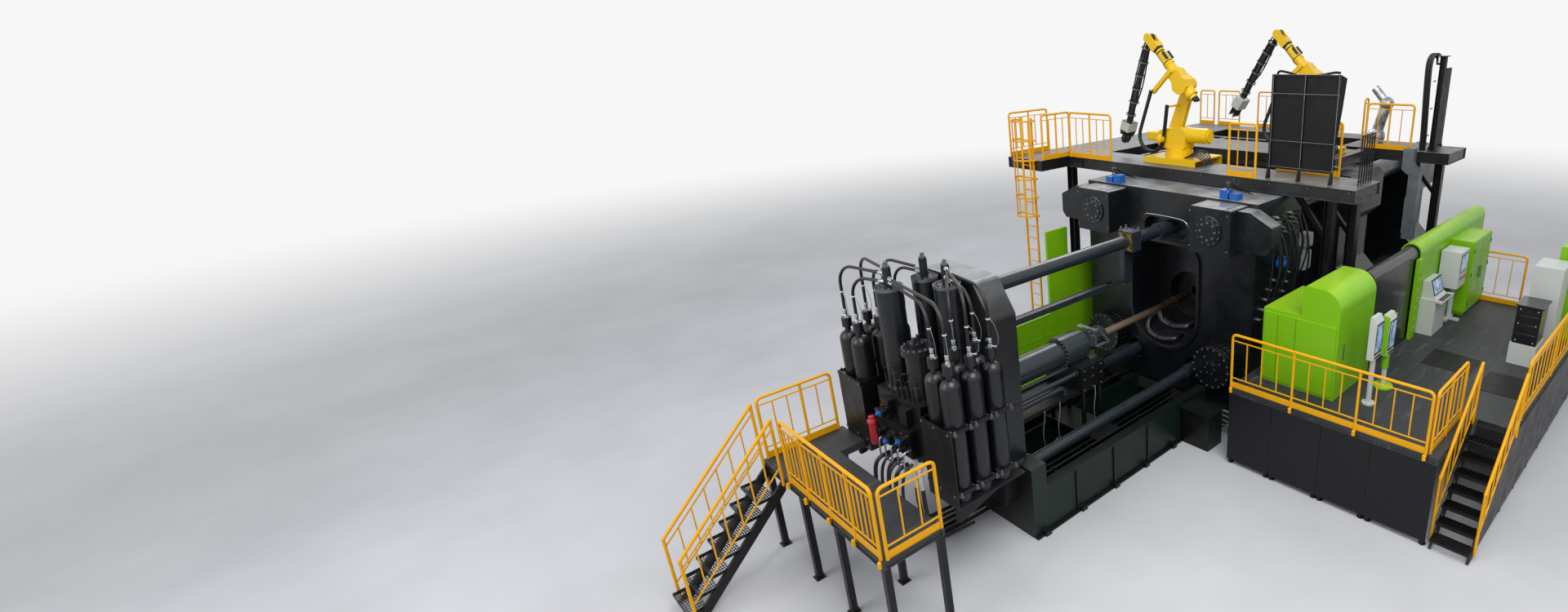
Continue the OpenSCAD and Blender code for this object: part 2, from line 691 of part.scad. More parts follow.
// Waisted outline of the moving and the rear platen
module waisted_outline() {
  w = platen_half_w - 100;
  waist = 300;
  top = platen_top - 200;
  half = [[w, way_h], [w, tie_mid_z - 800], [w - waist, tie_mid_z - 500], [w - waist, tie_mid_z + 500],
          [w, tie_mid_z + 800], [w, top - 150], [w - 150, top]];
  polygon(concat(half, [for (i = [6 : -1 : 0]) [-half[i][0], half[i][1]]]));
}

// Height of the toggle's platen pins over the middle, and their distance from the platen
pin_lift = 650;
pin_out = 330;
pin_r = 90;
link_w = 200;

// Ears that hold the toggle pins, beside each link
module pin_ears(x, side) {
  ear_r = 170;
  both_sides() for (s = [-1, 1]) for (y = [600 - link_w / 2 - 120 - run_gap, 600 + link_w / 2 + run_gap])
    along_y(y, y + 120) difference() {
      union() {
        translate([min(x - side * eps, x + side * pin_out), tie_mid_z + s * pin_lift - ear_r])
          square([pin_out + eps, 2 * ear_r]);
        translate([x + side * pin_out, tie_mid_z + s * pin_lift]) circle(r = ear_r + 8);
      }
      translate([x + side * pin_out, tie_mid_z + s * pin_lift]) circle(r = pin_r + run_gap);
    }
}

module moving_platen() color(black) {
  difference() {
    along_x(moving_x0, moving_x1) waisted_outline();
    tie_bores(moving_x0 - eps, moving_x1 + eps);
    die_slots(moving_x0 - eps, 1);
  }
  pin_ears(moving_x1, 1);
}

module rear_platen() color(black) {
  difference() {
    along_x(rear_plat_x0, rear_plat_x1) waisted_outline();
    tie_bores(rear_plat_x0 - eps, rear_plat_x1 + eps);
    translate([0, 0, tie_mid_z]) x_rod(rod_r + 50 + run_gap, rear_plat_x0 - eps, rear_plat_x1 + eps);
  }
  pin_ears(rear_plat_x0, -1);
}

knee_x = (moving_x1 + rear_plat_x0) / 2;
knee_lift = 950;

// Links, pins and crosshead of the toggle
module toggle_links() color(dark) {
  half = link_w / 2;
  both_sides() for (s = [-1, 1]) for (end = [moving_x1 + pin_out, rear_plat_x0 - pin_out]) {
    reach = [knee_x - end, s * (knee_lift - pin_lift)];
    along_y(600 - half, 600 + half) translate([end, tie_mid_z + s * pin_lift])
      rotate(atan2(reach[1], reach[0]) - 90) link(150, 180, norm(reach));
    translate([end, 0, tie_mid_z + s * pin_lift]) y_rod(pin_r, 600 - half - 130, 600 + half + 130);
  }
  for (s = [-1, 1]) translate([knee_x, 0, tie_mid_z + s * knee_lift]) y_rod(pin_r + 10, -800, 800);
  along_y(-half, half) translate([knee_x, tie_mid_z]) {
    square([2 * pin_r + 60, 2 * knee_lift], center = true);
    for (z = [-knee_lift, knee_lift]) translate([0, z]) circle(r = pin_r + 60);
  }
  box(knee_x - 220, knee_x + 220, -320, 320, tie_mid_z - 260, tie_mid_z + 260);
  translate([0, 0, tie_mid_z]) x_rod(rod_r + 50, knee_x, rear_plat_x1 + 100);
}

// Cylinder that drives the toggle, with its flanges and tie rods
module closing_cylinder() color(tube_grey) {
  x0 = rear_plat_x1 + seat_gap;
  translate([0, 0, tie_mid_z]) difference() {
    union() {
      x_rod(380, x0, x0 + 110);
      x_rod(260, x0 + 109, x0 + 1200);
      x_rod(360, x0 + 1199, x0 + 1320);
      for (a = [45 : 90 : 315]) rotate([a, 0, 0]) translate([0, 315, 0]) x_rod(28, x0 + 100, x0 + 1350);
    }
    x_rod(rod_r + 50 + run_gap, x0 - eps, x0 + 140);
  }
}

module valve_blocks() color("#2a6fb0") {
  both_sides() for (p = [[60, -200, 170], [60, 20, 120]])
    box(platen_front + p[0], platen_front + p[0] + 190, tie_y + p[1], tie_y + p[1] + 180, platen_top, platen_top + p[2]);
}

stair_y0 = op_y0 - stair_w;
op_stair_x = op_x0 + stair_run;
housing_x0 = door_x0 + door_len - 30;
housing_x1 = housing_x0 + 4200;

// Deck of the operator platform, with the strip that carries the guard beyond it
module operator_deck() color("#3b3d3e") {
  deck_slab(op_x0, op_x1, op_y0, op_y1, deck_z, deck_t);
  deck_slab(op_stair_x, op_x1, stair_y0, op_y0 - seat_gap, deck_z, deck_t);
  deck_slab(op_x1 + seat_gap, housing_x1 + 60, guard_y - 80, op_y1, deck_z, deck_t);
}

front_seams = [op_y0, -5150, -4300, -3370, op_y1];
side_bays = 7;

// Skirt panels and feet of the operator platform
module operator_skirt() color(black) {
  under = deck_z - deck_t - seat_gap;
  sheet = 8;
  foot_r = 28;
  lift = 90;
  side_w = (op_x1 - op_stair_x) / side_bays;
  leg_pitch = (op_x1 - op_x0) / 5;
  for (i = [0 : len(front_seams) - 2]) {
    box(op_x0, op_x0 + sheet, front_seams[i] + 4, front_seams[i + 1] - 4, lift, under);
    for (y = [front_seams[i] + 60, front_seams[i + 1] - 60]) {
      translate([op_x0 + sheet + foot_r, y, 0]) cylinder(r = foot_r + 1, h = under);
      translate([op_x0 + sheet + foot_r + 30, y, 0]) cylinder(r = 55, h = 18);
    }
  }
  for (i = [0 : side_bays - 1]) {
    box(op_stair_x + i * side_w + 4, op_stair_x + (i + 1) * side_w - 4, stair_y0, stair_y0 + sheet, lift, under);
    translate([op_stair_x + i * side_w + 80, stair_y0 + sheet + foot_r, 0]) cylinder(r = foot_r + 1, h = under);
    translate([op_stair_x + i * side_w + 80, stair_y0 + sheet + foot_r + 30, 0]) cylinder(r = 55, h = 18);
  }
  wedge_top = deck_z - deck_z / stair_steps - 2 * seat_gap;
  translate([op_stair_x - seat_gap, stair_y0, 0]) along_y(0, sheet)
    polygon([[0, lift], [0, wedge_top], [(lift - wedge_top) * stair_run / deck_z, lift]]);
  for (i = [1 : 4]) for (y = [op_y0 + 700, op_y1 - 160])
    box(op_x0 + i * leg_pitch, op_x0 + i * leg_pitch + 100, y, y + 100, 0, under);
  for (x = [op_x1 + 500, housing_x1 - 100]) box(x, x + 100, op_y1 - 100, op_y1, 0, under);
}

// Room for the handrail between the platform and its stair
stair_gap = 2 * rail_r;

module operator_stair() color(dark) {
  translate([op_stair_x - seat_gap, op_y0 - stair_gap, deck_z]) rotate([0, 0, 180])
    stair_flight(stair_run, deck_z, stair_w - stair_gap);
}

module operator_rails() color(amber) {
  edge = 60;
  front_start = op_y0 + 170;
  translate([op_x0 + rail_r, front_start, deck_z]) rotate([0, 0, 90])
    rail_panel(op_y1 - front_start, [1130, 2260]);
  translate([op_x0 + edge, op_y0 + 150, deck_z]) rail_panel(1400, [690]);
  translate([op_stair_x + 380, stair_y0 + rail_r + 10, deck_z])
    rail_panel(op_x1 - op_stair_x - 380, [for (i = [1 : 2]) i * 2070]);
  translate([op_x1 - rail_r, -5450, deck_z]) rotate([0, 0, 90]) rail_panel(880, [], rail_h + 140);
  for (y = [op_y0 - stair_gap + rail_side, stair_y0 - rail_side])
    translate([op_stair_x, y, deck_z]) rotate([0, 0, 180]) stair_rail(30, stair_run - 160, deck_z, stair_run);
}

// Outline of a guard with a round top, seen along the machine
module stadium(half_w, top) {
  translate([-half_w, 0]) square([2 * half_w, top - half_w]);
  translate([0, top - half_w]) circle(r = half_w);
}

guard_mid = guard_y + housing_w / 2;

module along_guard(x0, x1) {
  translate([x0, guard_mid, deck_z]) rotate([90, 0, 90]) linear_extrude(x1 - x0) children();
}

// Guard at the end of the operator's side, with its round shoulder
module guard_end_box() color(green) {
  r = 350;
  h = guard_top - deck_z;
  depth = 690;
  step_y = -2750;
  along_x(-540, 900) translate([0, deck_z]) {
    soft_outline([[guard_y, 0], [guard_y + depth, 0], [guard_y + depth, h], [guard_y, h]], [0, 0, 60, r]);
    translate([guard_y + depth - 90, 0]) square([step_y - guard_y - depth + 90, h - 560]);
  }
  along_x(-560, -540 + eps) translate([0, deck_z]) square_from(guard_y + 40, guard_y + 1380, 60, h - 620);
}

module square_from(x0, x1, y0, y1) {
  translate([x0, y0]) square([x1 - x0, y1 - y0]);
}

module guard_door() color("#1d1f22") {
  half = housing_w / 2 - 50;
  h = guard_top - deck_z - 50;
  skin = 40;
  translate([0, 0, run_gap]) along_guard(door_x0, door_x0 + door_len) difference() {
    stadium(half, h);
    stadium(half - skin, h - skin);
    square_from(-half + skin, half + eps, -eps, h - half);
  }
}

// Round-topped housing that the door runs in, with the slotted post at its mouth
module guard_housing() color(green) {
  half = housing_w / 2;
  h = guard_top - deck_z;
  skin = 30;
  post_w = 200;
  along_guard(housing_x0, housing_x1) difference() {
    stadium(half, h);
    translate([0, -eps]) stadium(half - skin, h - skin + eps);
  }
  difference() {
    box(housing_x0 - post_w, housing_x0 + eps, guard_y - 50, guard_y + 25, deck_z, deck_z + h - half - 60);
    for (i = [0 : 5]) box(housing_x0 - post_w + 50, housing_x0 - 50, guard_y - 51, guard_y - 30, deck_z + 250 + i * 210, deck_z + 370 + i * 210);
  }
}

// Green switch cabinets on the operator platform
module control_cabinets() color(green) {
  for (c = [[4950, 6200, -4630, guard_y - seat_gap, 3290], [4700, 5900, -6700, -6250, 3540]]) {
    box(c[0], c[1], c[2], c[3], deck_z + 60, c[4]);
    box(c[0] + 30, c[1] - 30, c[2] + 30, c[3] - 10, deck_z, deck_z + 60 + eps);
    for (i = [0, 1]) {
      w = (c[1] - c[0]) / 2;
      box(c[0] + i * w + 12, c[0] + (i + 1) * w - 12, c[2] - 20, c[2] + eps, deck_z + 80, c[4] - 20);
    }
  }
}

// Operator's consoles, pendants and small cabinets
module consoles() color(pale) {
  // console with a sloped screen and a shelf
  along_y(-4490, guard_y - seat_gap) square_from(3350, 4050, deck_z, 2380);
  translate([3400, 0, 0]) along_x(0, 600)
    polygon([[-4490, 2379], [guard_y - 5, 2379], [guard_y - 5, 2750], [-4330, 2750], [-4420, 2440]]);
  box(3330, 4070, -4620, -4489, 2340, 2381);
  // console on a star foot
  box(4250, 4790, -4600, -4200, 2400, 3200);
  translate([4560, -4430, deck_z]) {
    cylinder(r = 55, h = 801);
    for (a = [0, 90]) rotate([0, 0, a]) box(-230, 230, -35, 35, 0, 50);
  }
  // pendants at the end of the guard
  for (p = [[-210, -4660, 3220, 110], [550, -4600, 3020, 170]]) translate([p[0], p[1], 0]) {
    translate([0, 0, deck_z]) cylinder(r = p[3], h = 30);
    translate([0, 0, deck_z]) cylinder(r = 45, h = p[2] - deck_z - 700);
    along_x(-150, 150) polygon([[-60, p[2] - 760], [60, p[2] - 760], [60, p[2]], [0, p[2]], [-60, p[2] - 120]]);
  }
  // grey cabinets by the outer rail
  box(2980, 3550, -6440, -5990, deck_z, 2020);
  box(3900, 4600, -6500, -6000, deck_z + 60, 3300);
  box(3930, 4570, -6470, -6010, deck_z, deck_z + 61);
}

// Posts and braces of the top platform
module top_posts() color(black) {
  floor_posts = [[1240, 3800], [3000, 3800], [5900, 3800], [7800, 3800], [7900, -868]];
  deck_posts = [[1380, -2960], [1900, -3200], [6600, -3200]];
  for (p = deck_posts) h_post(p[0], p[1], deck_z, top_under);
  for (p = floor_posts) h_post(p[0], p[1], 0, top_under);
  for (p = deck_posts) translate([p[0], p[1] + 90, 0]) along_x(-40, 40)
    polygon([[-1, 3880], [-1, 4000], [560, top_under - 20], [560, top_under], [640, top_under], [640, 4600]]);
}

// Sections of the top platform, bolted side by side, with their pads on the fixed platen
module top_deck() color(black) {
  g = seat_gap / 2;
  pedestal_cut = [1390 - g, 200, 1600];
  difference() {
    deck_slab(1000, 2100, -3570, 3250 - g, top_z, top_beam_h, [-3200, -2960]);
    box(pedestal_cut[0], 2100 + eps, pedestal_cut[1] - g, pedestal_cut[2] + g, top_under - eps, top_z + eps);
  }
  deck_slab(3950, 5500, -1800, 3250 - g, top_z, top_beam_h);
  for (y = [-1650, 2300]) {
    box(2100 + g, 3950 - g, y, y + 120, top_under, top_z - 20);
    box(5500 + g, 5950 - g, y, y + 120, top_under, top_z - 20);
  }
  box(5950, 6070, -1000 + g, 3250 - g, top_under, top_z - 20);
  deck_slab(5950, 7350 - g, -2600, -1000, top_z, top_beam_h);
  deck_slab(5950, 7150, -3570, -2600 - g, top_z, top_beam_h, [-3200]);
  deck_slab(7350 + g, 8250, -1000 + g, 4900, top_z, top_beam_h, [3800]);
  deck_slab(1000, 2400, 3250 + g, 4900, top_z, top_beam_h, [3800]);
  deck_slab(2400 + g, 7350 - g, 3250 + g, 4900, top_z, top_beam_h, [3800]);
  deck_slab(130, 1000 - g, 3700, 4900, top_z, top_beam_h);
  for (x = [1100, 1500]) for (y = [-1700, -500, 1800])
    box(x, x + 160, y, y + 160, platen_top + seat_gap, top_under + 20);
}

// A railing on the top platform: start, heading and length, with a thin yellow toe board
module top_rail(x, y, heading, length, posts = []) {
  translate([x, y, top_z]) rotate([0, 0, heading]) rail_panel(length, posts);
}

module top_rails() color(amber) {
  edge = 130 + 60;
  top_rail(edge, 3700 + rail_r, 0, 950, [480]);
  top_rail(edge, 4900 - rail_r, 0, 1300, [650]);
  top_rail(1000 + rail_r, 2260, 90, 1380, [690]);
  top_rail(1000 + rail_r, -1530, 90, 660);
  top_rail(2100 - rail_r, -2770, 90, 1390, [695]);
  top_rail(5950 + rail_r, -2700, 90, 1130, [565]);
  top_rail(7100, -1000 - rail_r, 0, 245);
  top_rail(8250 - rail_r, 1900, 90, 860);
  top_rail(8250 - rail_r, 3360, 90, 810);
  top_rail(8250 - rail_r, 4300, 90, 570);
}

ladder_ys = [3960, 4340];
ladder_x = 110;

module ladder() color(amber) {
  for (y = ladder_ys) box(ladder_x - 20, ladder_x + 20 - seat_gap, y - 20, y + 20, 0, top_z + 980);
  for (i = [1 : 18]) box(ladder_x - 10, ladder_x + 10, ladder_ys[0], ladder_ys[1], i * 300, i * 300 + 25);
}

// Hoops and straps around the climber
module ladder_cage() color(amber) {
  for (i = [0 : 5])
    translate([ladder_x - 20 - run_gap, 4150, top_z + 900 - i * 450]) {
      difference() {
        cylinder(r = 340, h = 40);
        translate([0, 0, -eps]) cylinder(r = 325, h = 42);
        translate([0, -400, -eps]) cube([400, 800, 42]);
      }
      for (s = [-1, 1]) box(-15, 0, s > 0 ? ladder_ys[1] - 4150 : -339, s > 0 ? 339 : ladder_ys[0] - 4150, 0, 40);
    }
  for (a = [-60, -30, 0, 30, 60])
    translate([ladder_x - 20, 4150, top_z + 900 - 2250]) rotate([0, 0, 180 + a]) translate([318, -20, 0]) cube([8, 40, 2290]);
}

// A framed sheet that starts at the origin, runs along +X and stands on wedge feet
module spray_screen(length, foot_h) {
  rib = 40;
  top = foot_h + screen_h;
  box(0, length, 0, 6, foot_h, top);
  for (z = [foot_h, foot_h + 500, top - 380, top - rib]) box(0, length, 5, rib, z, z + rib);
  for (x = [0, length / 2 - rib / 2, length - rib]) {
    box(x, x + rib, 5, rib, foot_h, top);
    translate([x, 0, 0]) along_x(0, rib) polygon([[-20, 0], [110, 0], [rib, foot_h + 30], [0, foot_h + 30]]);
  }
}

module spray_screens() color(dark) {
  translate([1300, -1640, top_z]) rotate([0, 0, -90]) mirror([0, 1, 0]) spray_screen(1340, 200);
  translate([6420, -3010, top_z]) spray_screen(700, 60);
  // mast beside the far screen
  h_post(6200, -3100, top_z, top_z + 2100, 120);
  // dark railing behind the near screen
  for (x = [0 : 110 : 550]) box(1450 + x, 1470 + x, -3420, -3400, top_z, top_z + 880);
  for (z = [60, 880]) box(1450, 2020, -3424, -3396, top_z + z, top_z + z + 28);
}

module cable_duct() color("#7b7f82") {
  along_x(5950 - seat_gap - 210, 5950 - seat_gap)
    polygon([[-2620, 5040], [-2860, 5040], [-2860, 4640], [-3040, 4520], [-3040, 2900],
             [-2800, 2900], [-2800, 4420], [-2620, 4540]]);
}

// Robots

robot_z = top_z + pedestal_h;
ladle_place = [1920, 1000, robot_z];
spray_place = [4500, -750, robot_z];
shoulder = [0, 320, 380];
elbow = shoulder + arm_len * [0, -sin(arm_lean), cos(arm_lean)];
wrist = elbow + forearm_len * [0, cos(forearm_rise), sin(forearm_rise)];
ladle_swing = 18.4;
spray_swing = 31.2;
base_h = 100;

// Faces between the turret and the arm beside it
arm_x0 = 160;
arm_x1 = 300;

// An open channel that carries a robot, with the robot's fixed base on it
module pedestal(depth) {
  wall = 30;
  along_y(-800, 600) difference() {
    square_from(-530, 530, -depth, 0);
    square_from(-530 + wall, 530 - wall, -depth + wall, -wall);
  }
  translate([0, 0, -eps]) cylinder(r = 320, h = base_h + eps);
}

module robot_pedestals() color(yellow) {
  translate(ladle_place) pedestal(robot_z - platen_top - seat_gap);
  translate(spray_place) pedestal(pedestal_h);
}

// Turning part of a robot, with its motor housing and balancer
module turret() {
  side = arm_x0 - run_gap;
  translate([0, 0, base_h + run_gap]) cylinder(r = 300, h = 88);
  along_x(-200, side) soft_outline(
    [[-290, 170], [290, 170], [520, 330], [500, 480], [330, 590], [-150, 640], [-290, 560]],
    [40, 40, 60, 60, 80, 60, 60]);
  translate(shoulder) x_rod(186, -215, side);
  translate([0, 0, 400]) along_y(299, 830) soft_outline([[-130, -100], [130, -100], [130, 100], [-130, 100]], [40, 40, 40, 40]);
  translate([-30, 0, 470]) {
    y_rod(168, -820, -200);
    y_rod(120, -860, -819);
  }
}

// Bar that holds the hose loop on the arm, in the robot's frame
hose_x = -260;
loop_r = 38;
loop_mid = [600, 420];
loop_bend = 350;
near_angle = 187.6;
far_angle = 20;
near_leg = 760;
far_leg = 947;

module lower_arm() {
  pocket = [[45, 200], [80, 240], [62, arm_len - 240], [35, arm_len - 200]];
  translate(shoulder) {
    x_rod(180, arm_x0, arm_x1);
    rotate([arm_lean, 0, 0]) difference() {
      along_x(arm_x0 + 6, arm_x1 - 8) link(172, 128, arm_len);
      along_x(arm_x1 - 26, arm_x1) polygon(concat(pocket, [for (i = [3 : -1 : 0]) [-pocket[i][0], pocket[i][1]]]));
    }
  }
  translate(elbow) x_rod(136, arm_x0, arm_x1);
  near_end = loop_mid + loop_bend * [cos(near_angle), sin(near_angle)] + near_leg * [-sin(near_angle), cos(near_angle)] * -1;
  translate([0, near_end[0], near_end[1] - 40]) x_rod(24, hose_x + loop_r + seat_gap, arm_x0 + 20);
}

// Hose loop of a robot, from the arm's bar round to the forearm's bracket
module hose_loop() {
  translate([hose_x, loop_mid[0], loop_mid[1]]) rotate([90, 0, 90]) {
    rotate([0, 0, near_angle]) {
      rotate_extrude(angle = 360 + far_angle - near_angle) translate([loop_bend, 0]) circle(r = loop_r);
      translate([loop_bend, 0, 0]) rotate([90, 0, 0]) cylinder(r = loop_r, h = near_leg);
    }
    rotate([0, 0, far_angle]) translate([loop_bend, 0, 0]) rotate([-90, 0, 0]) cylinder(r = loop_r, h = far_leg);
  }
}

module forearm() {
  fork_x = 72;
  fork_t = 40;
  translate(elbow) {
    along_x(-200, arm_x0 - run_gap) rotate(10) circle(r = 205, $fn = 8);
    rotate([forearm_rise, 0, 0]) {
      y_rod(140, -330, 330);
      y_rod(95, -400, -329);
      box(-150, 130, 60, 330, -135, 160);
      y_rod(150, 329, 380);
      y_rod(112, 379, 900);
      y_rod(100, 899, forearm_len - 190);
      y_rod(126, 560, 610);
      for (x = [fork_x, -fork_x - fork_t]) along_x(x, x + fork_t) {
        translate([forearm_len - 260, -90]) square([260, 180]);
        translate([forearm_len, 0]) circle(r = 100);
      }
      box(-fork_x - fork_t, fork_x + fork_t, forearm_len - 330, forearm_len - 190, -100, 100);
      translate([0, forearm_len, 0]) x_rod(70, fork_x + fork_t - eps, fork_x + fork_t + 50);
      box(hose_x + loop_r + seat_gap, -139, 330, 420, -640, 60);
      box(-140, -60, 330, 420, -40, 60);
    }
  }
}

// Tool of the ladling robot: a lance with a two-jaw gripper
module grip_tool(reach, swing) {
  translate(wrist) {
    x_rod(90, -71.5, 71.5);
    rotate([swing, 0, 0]) {
      translate([0, 0, -reach]) cylinder(r = 55, h = reach);
      translate([0, 78, -reach]) cylinder(r = 24, h = reach - 260);
      along_y(-120, 120) soft_outline(
        [[-150, -reach + 60], [-150, -reach - 200], [-90, -reach - 290], [90, -reach - 290], [150, -reach - 200], [150, -reach + 60]],
        [30, 30, 30, 30, 30, 30]);
      for (s = [-1, 1]) along_y(-50, 50)
        polygon([for (p = [[40, -289], [110, -289], [130, -380], [60, -480], [30, -480], [70, -380]]) [s * p[0], p[1] - reach]]);
    }
  }
}

// Tool of the spraying robot: a lance with a head of nozzle pipes
module spray_head_tool(reach, swing) {
  translate(wrist) {
    x_rod(90, -71.5, 71.5);
    rotate([swing, 0, 0]) {
      translate([0, 0, -reach]) cylinder(r = 55, h = reach);
      translate([0, 78, -reach]) cylinder(r = 24, h = reach - 260);
      box(-170, 170, -110, 110, -reach - 230, -reach + 40);
      for (x = [-130 : 52 : 130]) for (y = [-60, 60]) translate([x, y, -reach - 420]) cylinder(r = 13, h = 195);
    }
  }
}

module ladle_turret() color(yellow) translate(ladle_place) turret();
module ladle_arm() color(yellow) translate(ladle_place) lower_arm();
module ladle_hoses() color(rubber) translate(ladle_place) hose_loop();
module ladle_forearm() color(yellow) translate(ladle_place) forearm();
module ladle_tool() color(dark) translate(ladle_place) grip_tool(ladle_reach, ladle_swing);
module spray_turret() color(yellow) translate(spray_place) turret();
module spray_arm() color(yellow) translate(spray_place) lower_arm();
module spray_hoses() color(rubber) translate(spray_place) hose_loop();
module spray_forearm() color(yellow) translate(spray_place) forearm();
module spray_tool() color(dark) translate(spray_place) spray_head_tool(spray_reach, spray_swing);

// Wrapped robot between the screens
module covered_robot() color("#8f9294") {
  translate([6450, -1650, top_z]) {
    cylinder(r = 190, h = 330);
    translate([0, 0, 220]) sphere(r = 215);
    translate([0, 0, 250]) rotate([14, 0, 0]) cylinder(r = 130, h = 760);
    translate([0, -188, 1005]) sphere(r = 165);
    translate([0, -188, 1005]) rotate([-42, 0, 0]) cylinder(r = 95, h = 480);
  }
}

// Guard fence and panels on the side away from the operator
module far_guard() color(green) {
  y = 2600;
  sheet = 30;
  box(-840, -200, y, y + 60, 0, 3600);
  box(-200 - eps, 710, y + 15, y + 15 + sheet, 60, 2620);
  box(-1900, -839, y + 20, y + 20 + 8, 110, 1650);
  for (x = [-1900, -1510, -1150]) box(x, x + 40, y + 5, y + 50, 0, 1650);
  for (z = [110, 1120, 1610]) box(-1900, -839, y + 8, y + 45, z, z + 40);
  box(670, 710 + eps, y + 5, y + 60, 0, 2620);
}

base_frame();
clamp_base();
injection_plate();
column_tubes();
shot_cylinder();
shot_rod();
shot_support();
shot_pipes();
gas_bottles();
bottle_racks();
piston_accumulators();
hydraulic_manifold();
accumulator_hoses();
rear_deck();
rear_legs();
rear_stair();
rear_rails();
fixed_platen();
nut_housings();
tie_bar_drums();
tie_bars();
moving_platen();
rear_platen();
toggle_links();
closing_cylinder();
valve_blocks();
operator_deck();
operator_skirt();
operator_stair();
operator_rails();
guard_end_box();
guard_door();
guard_housing();
control_cabinets();
consoles();
top_posts();
top_deck();
top_rails();
ladder();
ladder_cage();
spray_screens();
cable_duct();
robot_pedestals();
ladle_turret();
ladle_arm();
ladle_hoses();
ladle_forearm();
ladle_tool();
spray_turret();
spray_arm();
spray_hoses();
spray_forearm();
spray_tool();
covered_robot();
far_guard();
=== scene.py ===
import json
import math
import random
from itertools import product

import bmesh
import bpy
from mathutils import Matrix, Vector


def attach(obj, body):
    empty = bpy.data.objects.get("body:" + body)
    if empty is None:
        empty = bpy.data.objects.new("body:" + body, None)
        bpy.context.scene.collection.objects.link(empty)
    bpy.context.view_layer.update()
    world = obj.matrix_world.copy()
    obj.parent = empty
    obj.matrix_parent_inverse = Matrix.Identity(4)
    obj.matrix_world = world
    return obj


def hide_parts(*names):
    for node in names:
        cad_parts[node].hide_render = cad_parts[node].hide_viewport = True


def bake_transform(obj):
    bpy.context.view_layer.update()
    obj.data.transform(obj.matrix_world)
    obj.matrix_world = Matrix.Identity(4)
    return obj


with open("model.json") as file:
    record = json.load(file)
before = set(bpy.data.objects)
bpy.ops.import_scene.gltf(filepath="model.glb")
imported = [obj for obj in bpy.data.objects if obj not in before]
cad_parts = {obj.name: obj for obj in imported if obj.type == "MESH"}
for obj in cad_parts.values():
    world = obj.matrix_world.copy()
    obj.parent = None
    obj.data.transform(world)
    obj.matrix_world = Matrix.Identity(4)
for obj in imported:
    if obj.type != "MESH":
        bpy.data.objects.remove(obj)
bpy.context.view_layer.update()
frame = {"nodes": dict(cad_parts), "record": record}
nodes = frame["nodes"]
randomSource = random.Random(41)
print("frame loaded:", len(nodes), "CAD nodes")


def linear(hexCode):
    channels = [int(hexCode[i:i + 2], 16) / 255 for i in (1, 3, 5)]
    return tuple(c / 12.92 if c <= 0.04045 else ((c + 0.055) / 1.055) ** 2.4 for c in channels) + (1.0,)


# Adds a node: its inputs in the order it shows them or by name, and its settings in small letters.
# A node that is given as an input stands for its first output
def addNode(tree, kind, *inputs, **named):
    node = tree.nodes.new("ShaderNode" + kind)
    for key in [key for key in named if key.islower()]:
        setattr(node, key, named.pop(key))
    fillInputs(tree, node, *inputs, **named)
    return node


def fillInputs(tree, node, *inputs, **named):
    shown = [socket for socket in node.inputs if socket.enabled]
    pairs = list(zip(shown, inputs)) + [(node.inputs[key.replace("_", " ")], named[key]) for key in named]
    for socket, value in pairs:
        if isinstance(value, bpy.types.Node):
            value = [output for output in value.outputs if output.enabled][0]
        if isinstance(value, bpy.types.NodeSocket):
            tree.links.new(value, socket)
        else:
            socket.default_value = value


def newMaterial(name):
    material = bpy.data.materials.new(name)
    material.use_nodes = True
    tree = material.node_tree
    return material, tree, tree.nodes["Principled BSDF"]


def objectPoint(tree, stretch=(1.0, 1.0, 1.0)):
    place = addNode(tree, "TexCoord").outputs["Object"]
    return addNode(tree, "VectorMath", place, stretch, operation="MULTIPLY")


# A soft pattern whose grain is a real size in mm, spread between two values
def grain(tree, sizeMm, low=0.0, high=1.0, toLow=0.0, toHigh=1.0, detail=3.0, stretch=(1.0, 1.0, 1.0),
          rough=0.55):
    noise = addNode(tree, "TexNoise", Vector=objectPoint(tree, stretch), Scale=1000.0 / sizeMm,
                    Detail=detail, Roughness=rough)
    return addNode(tree, "MapRange", noise, low, high, toLow, toHigh)


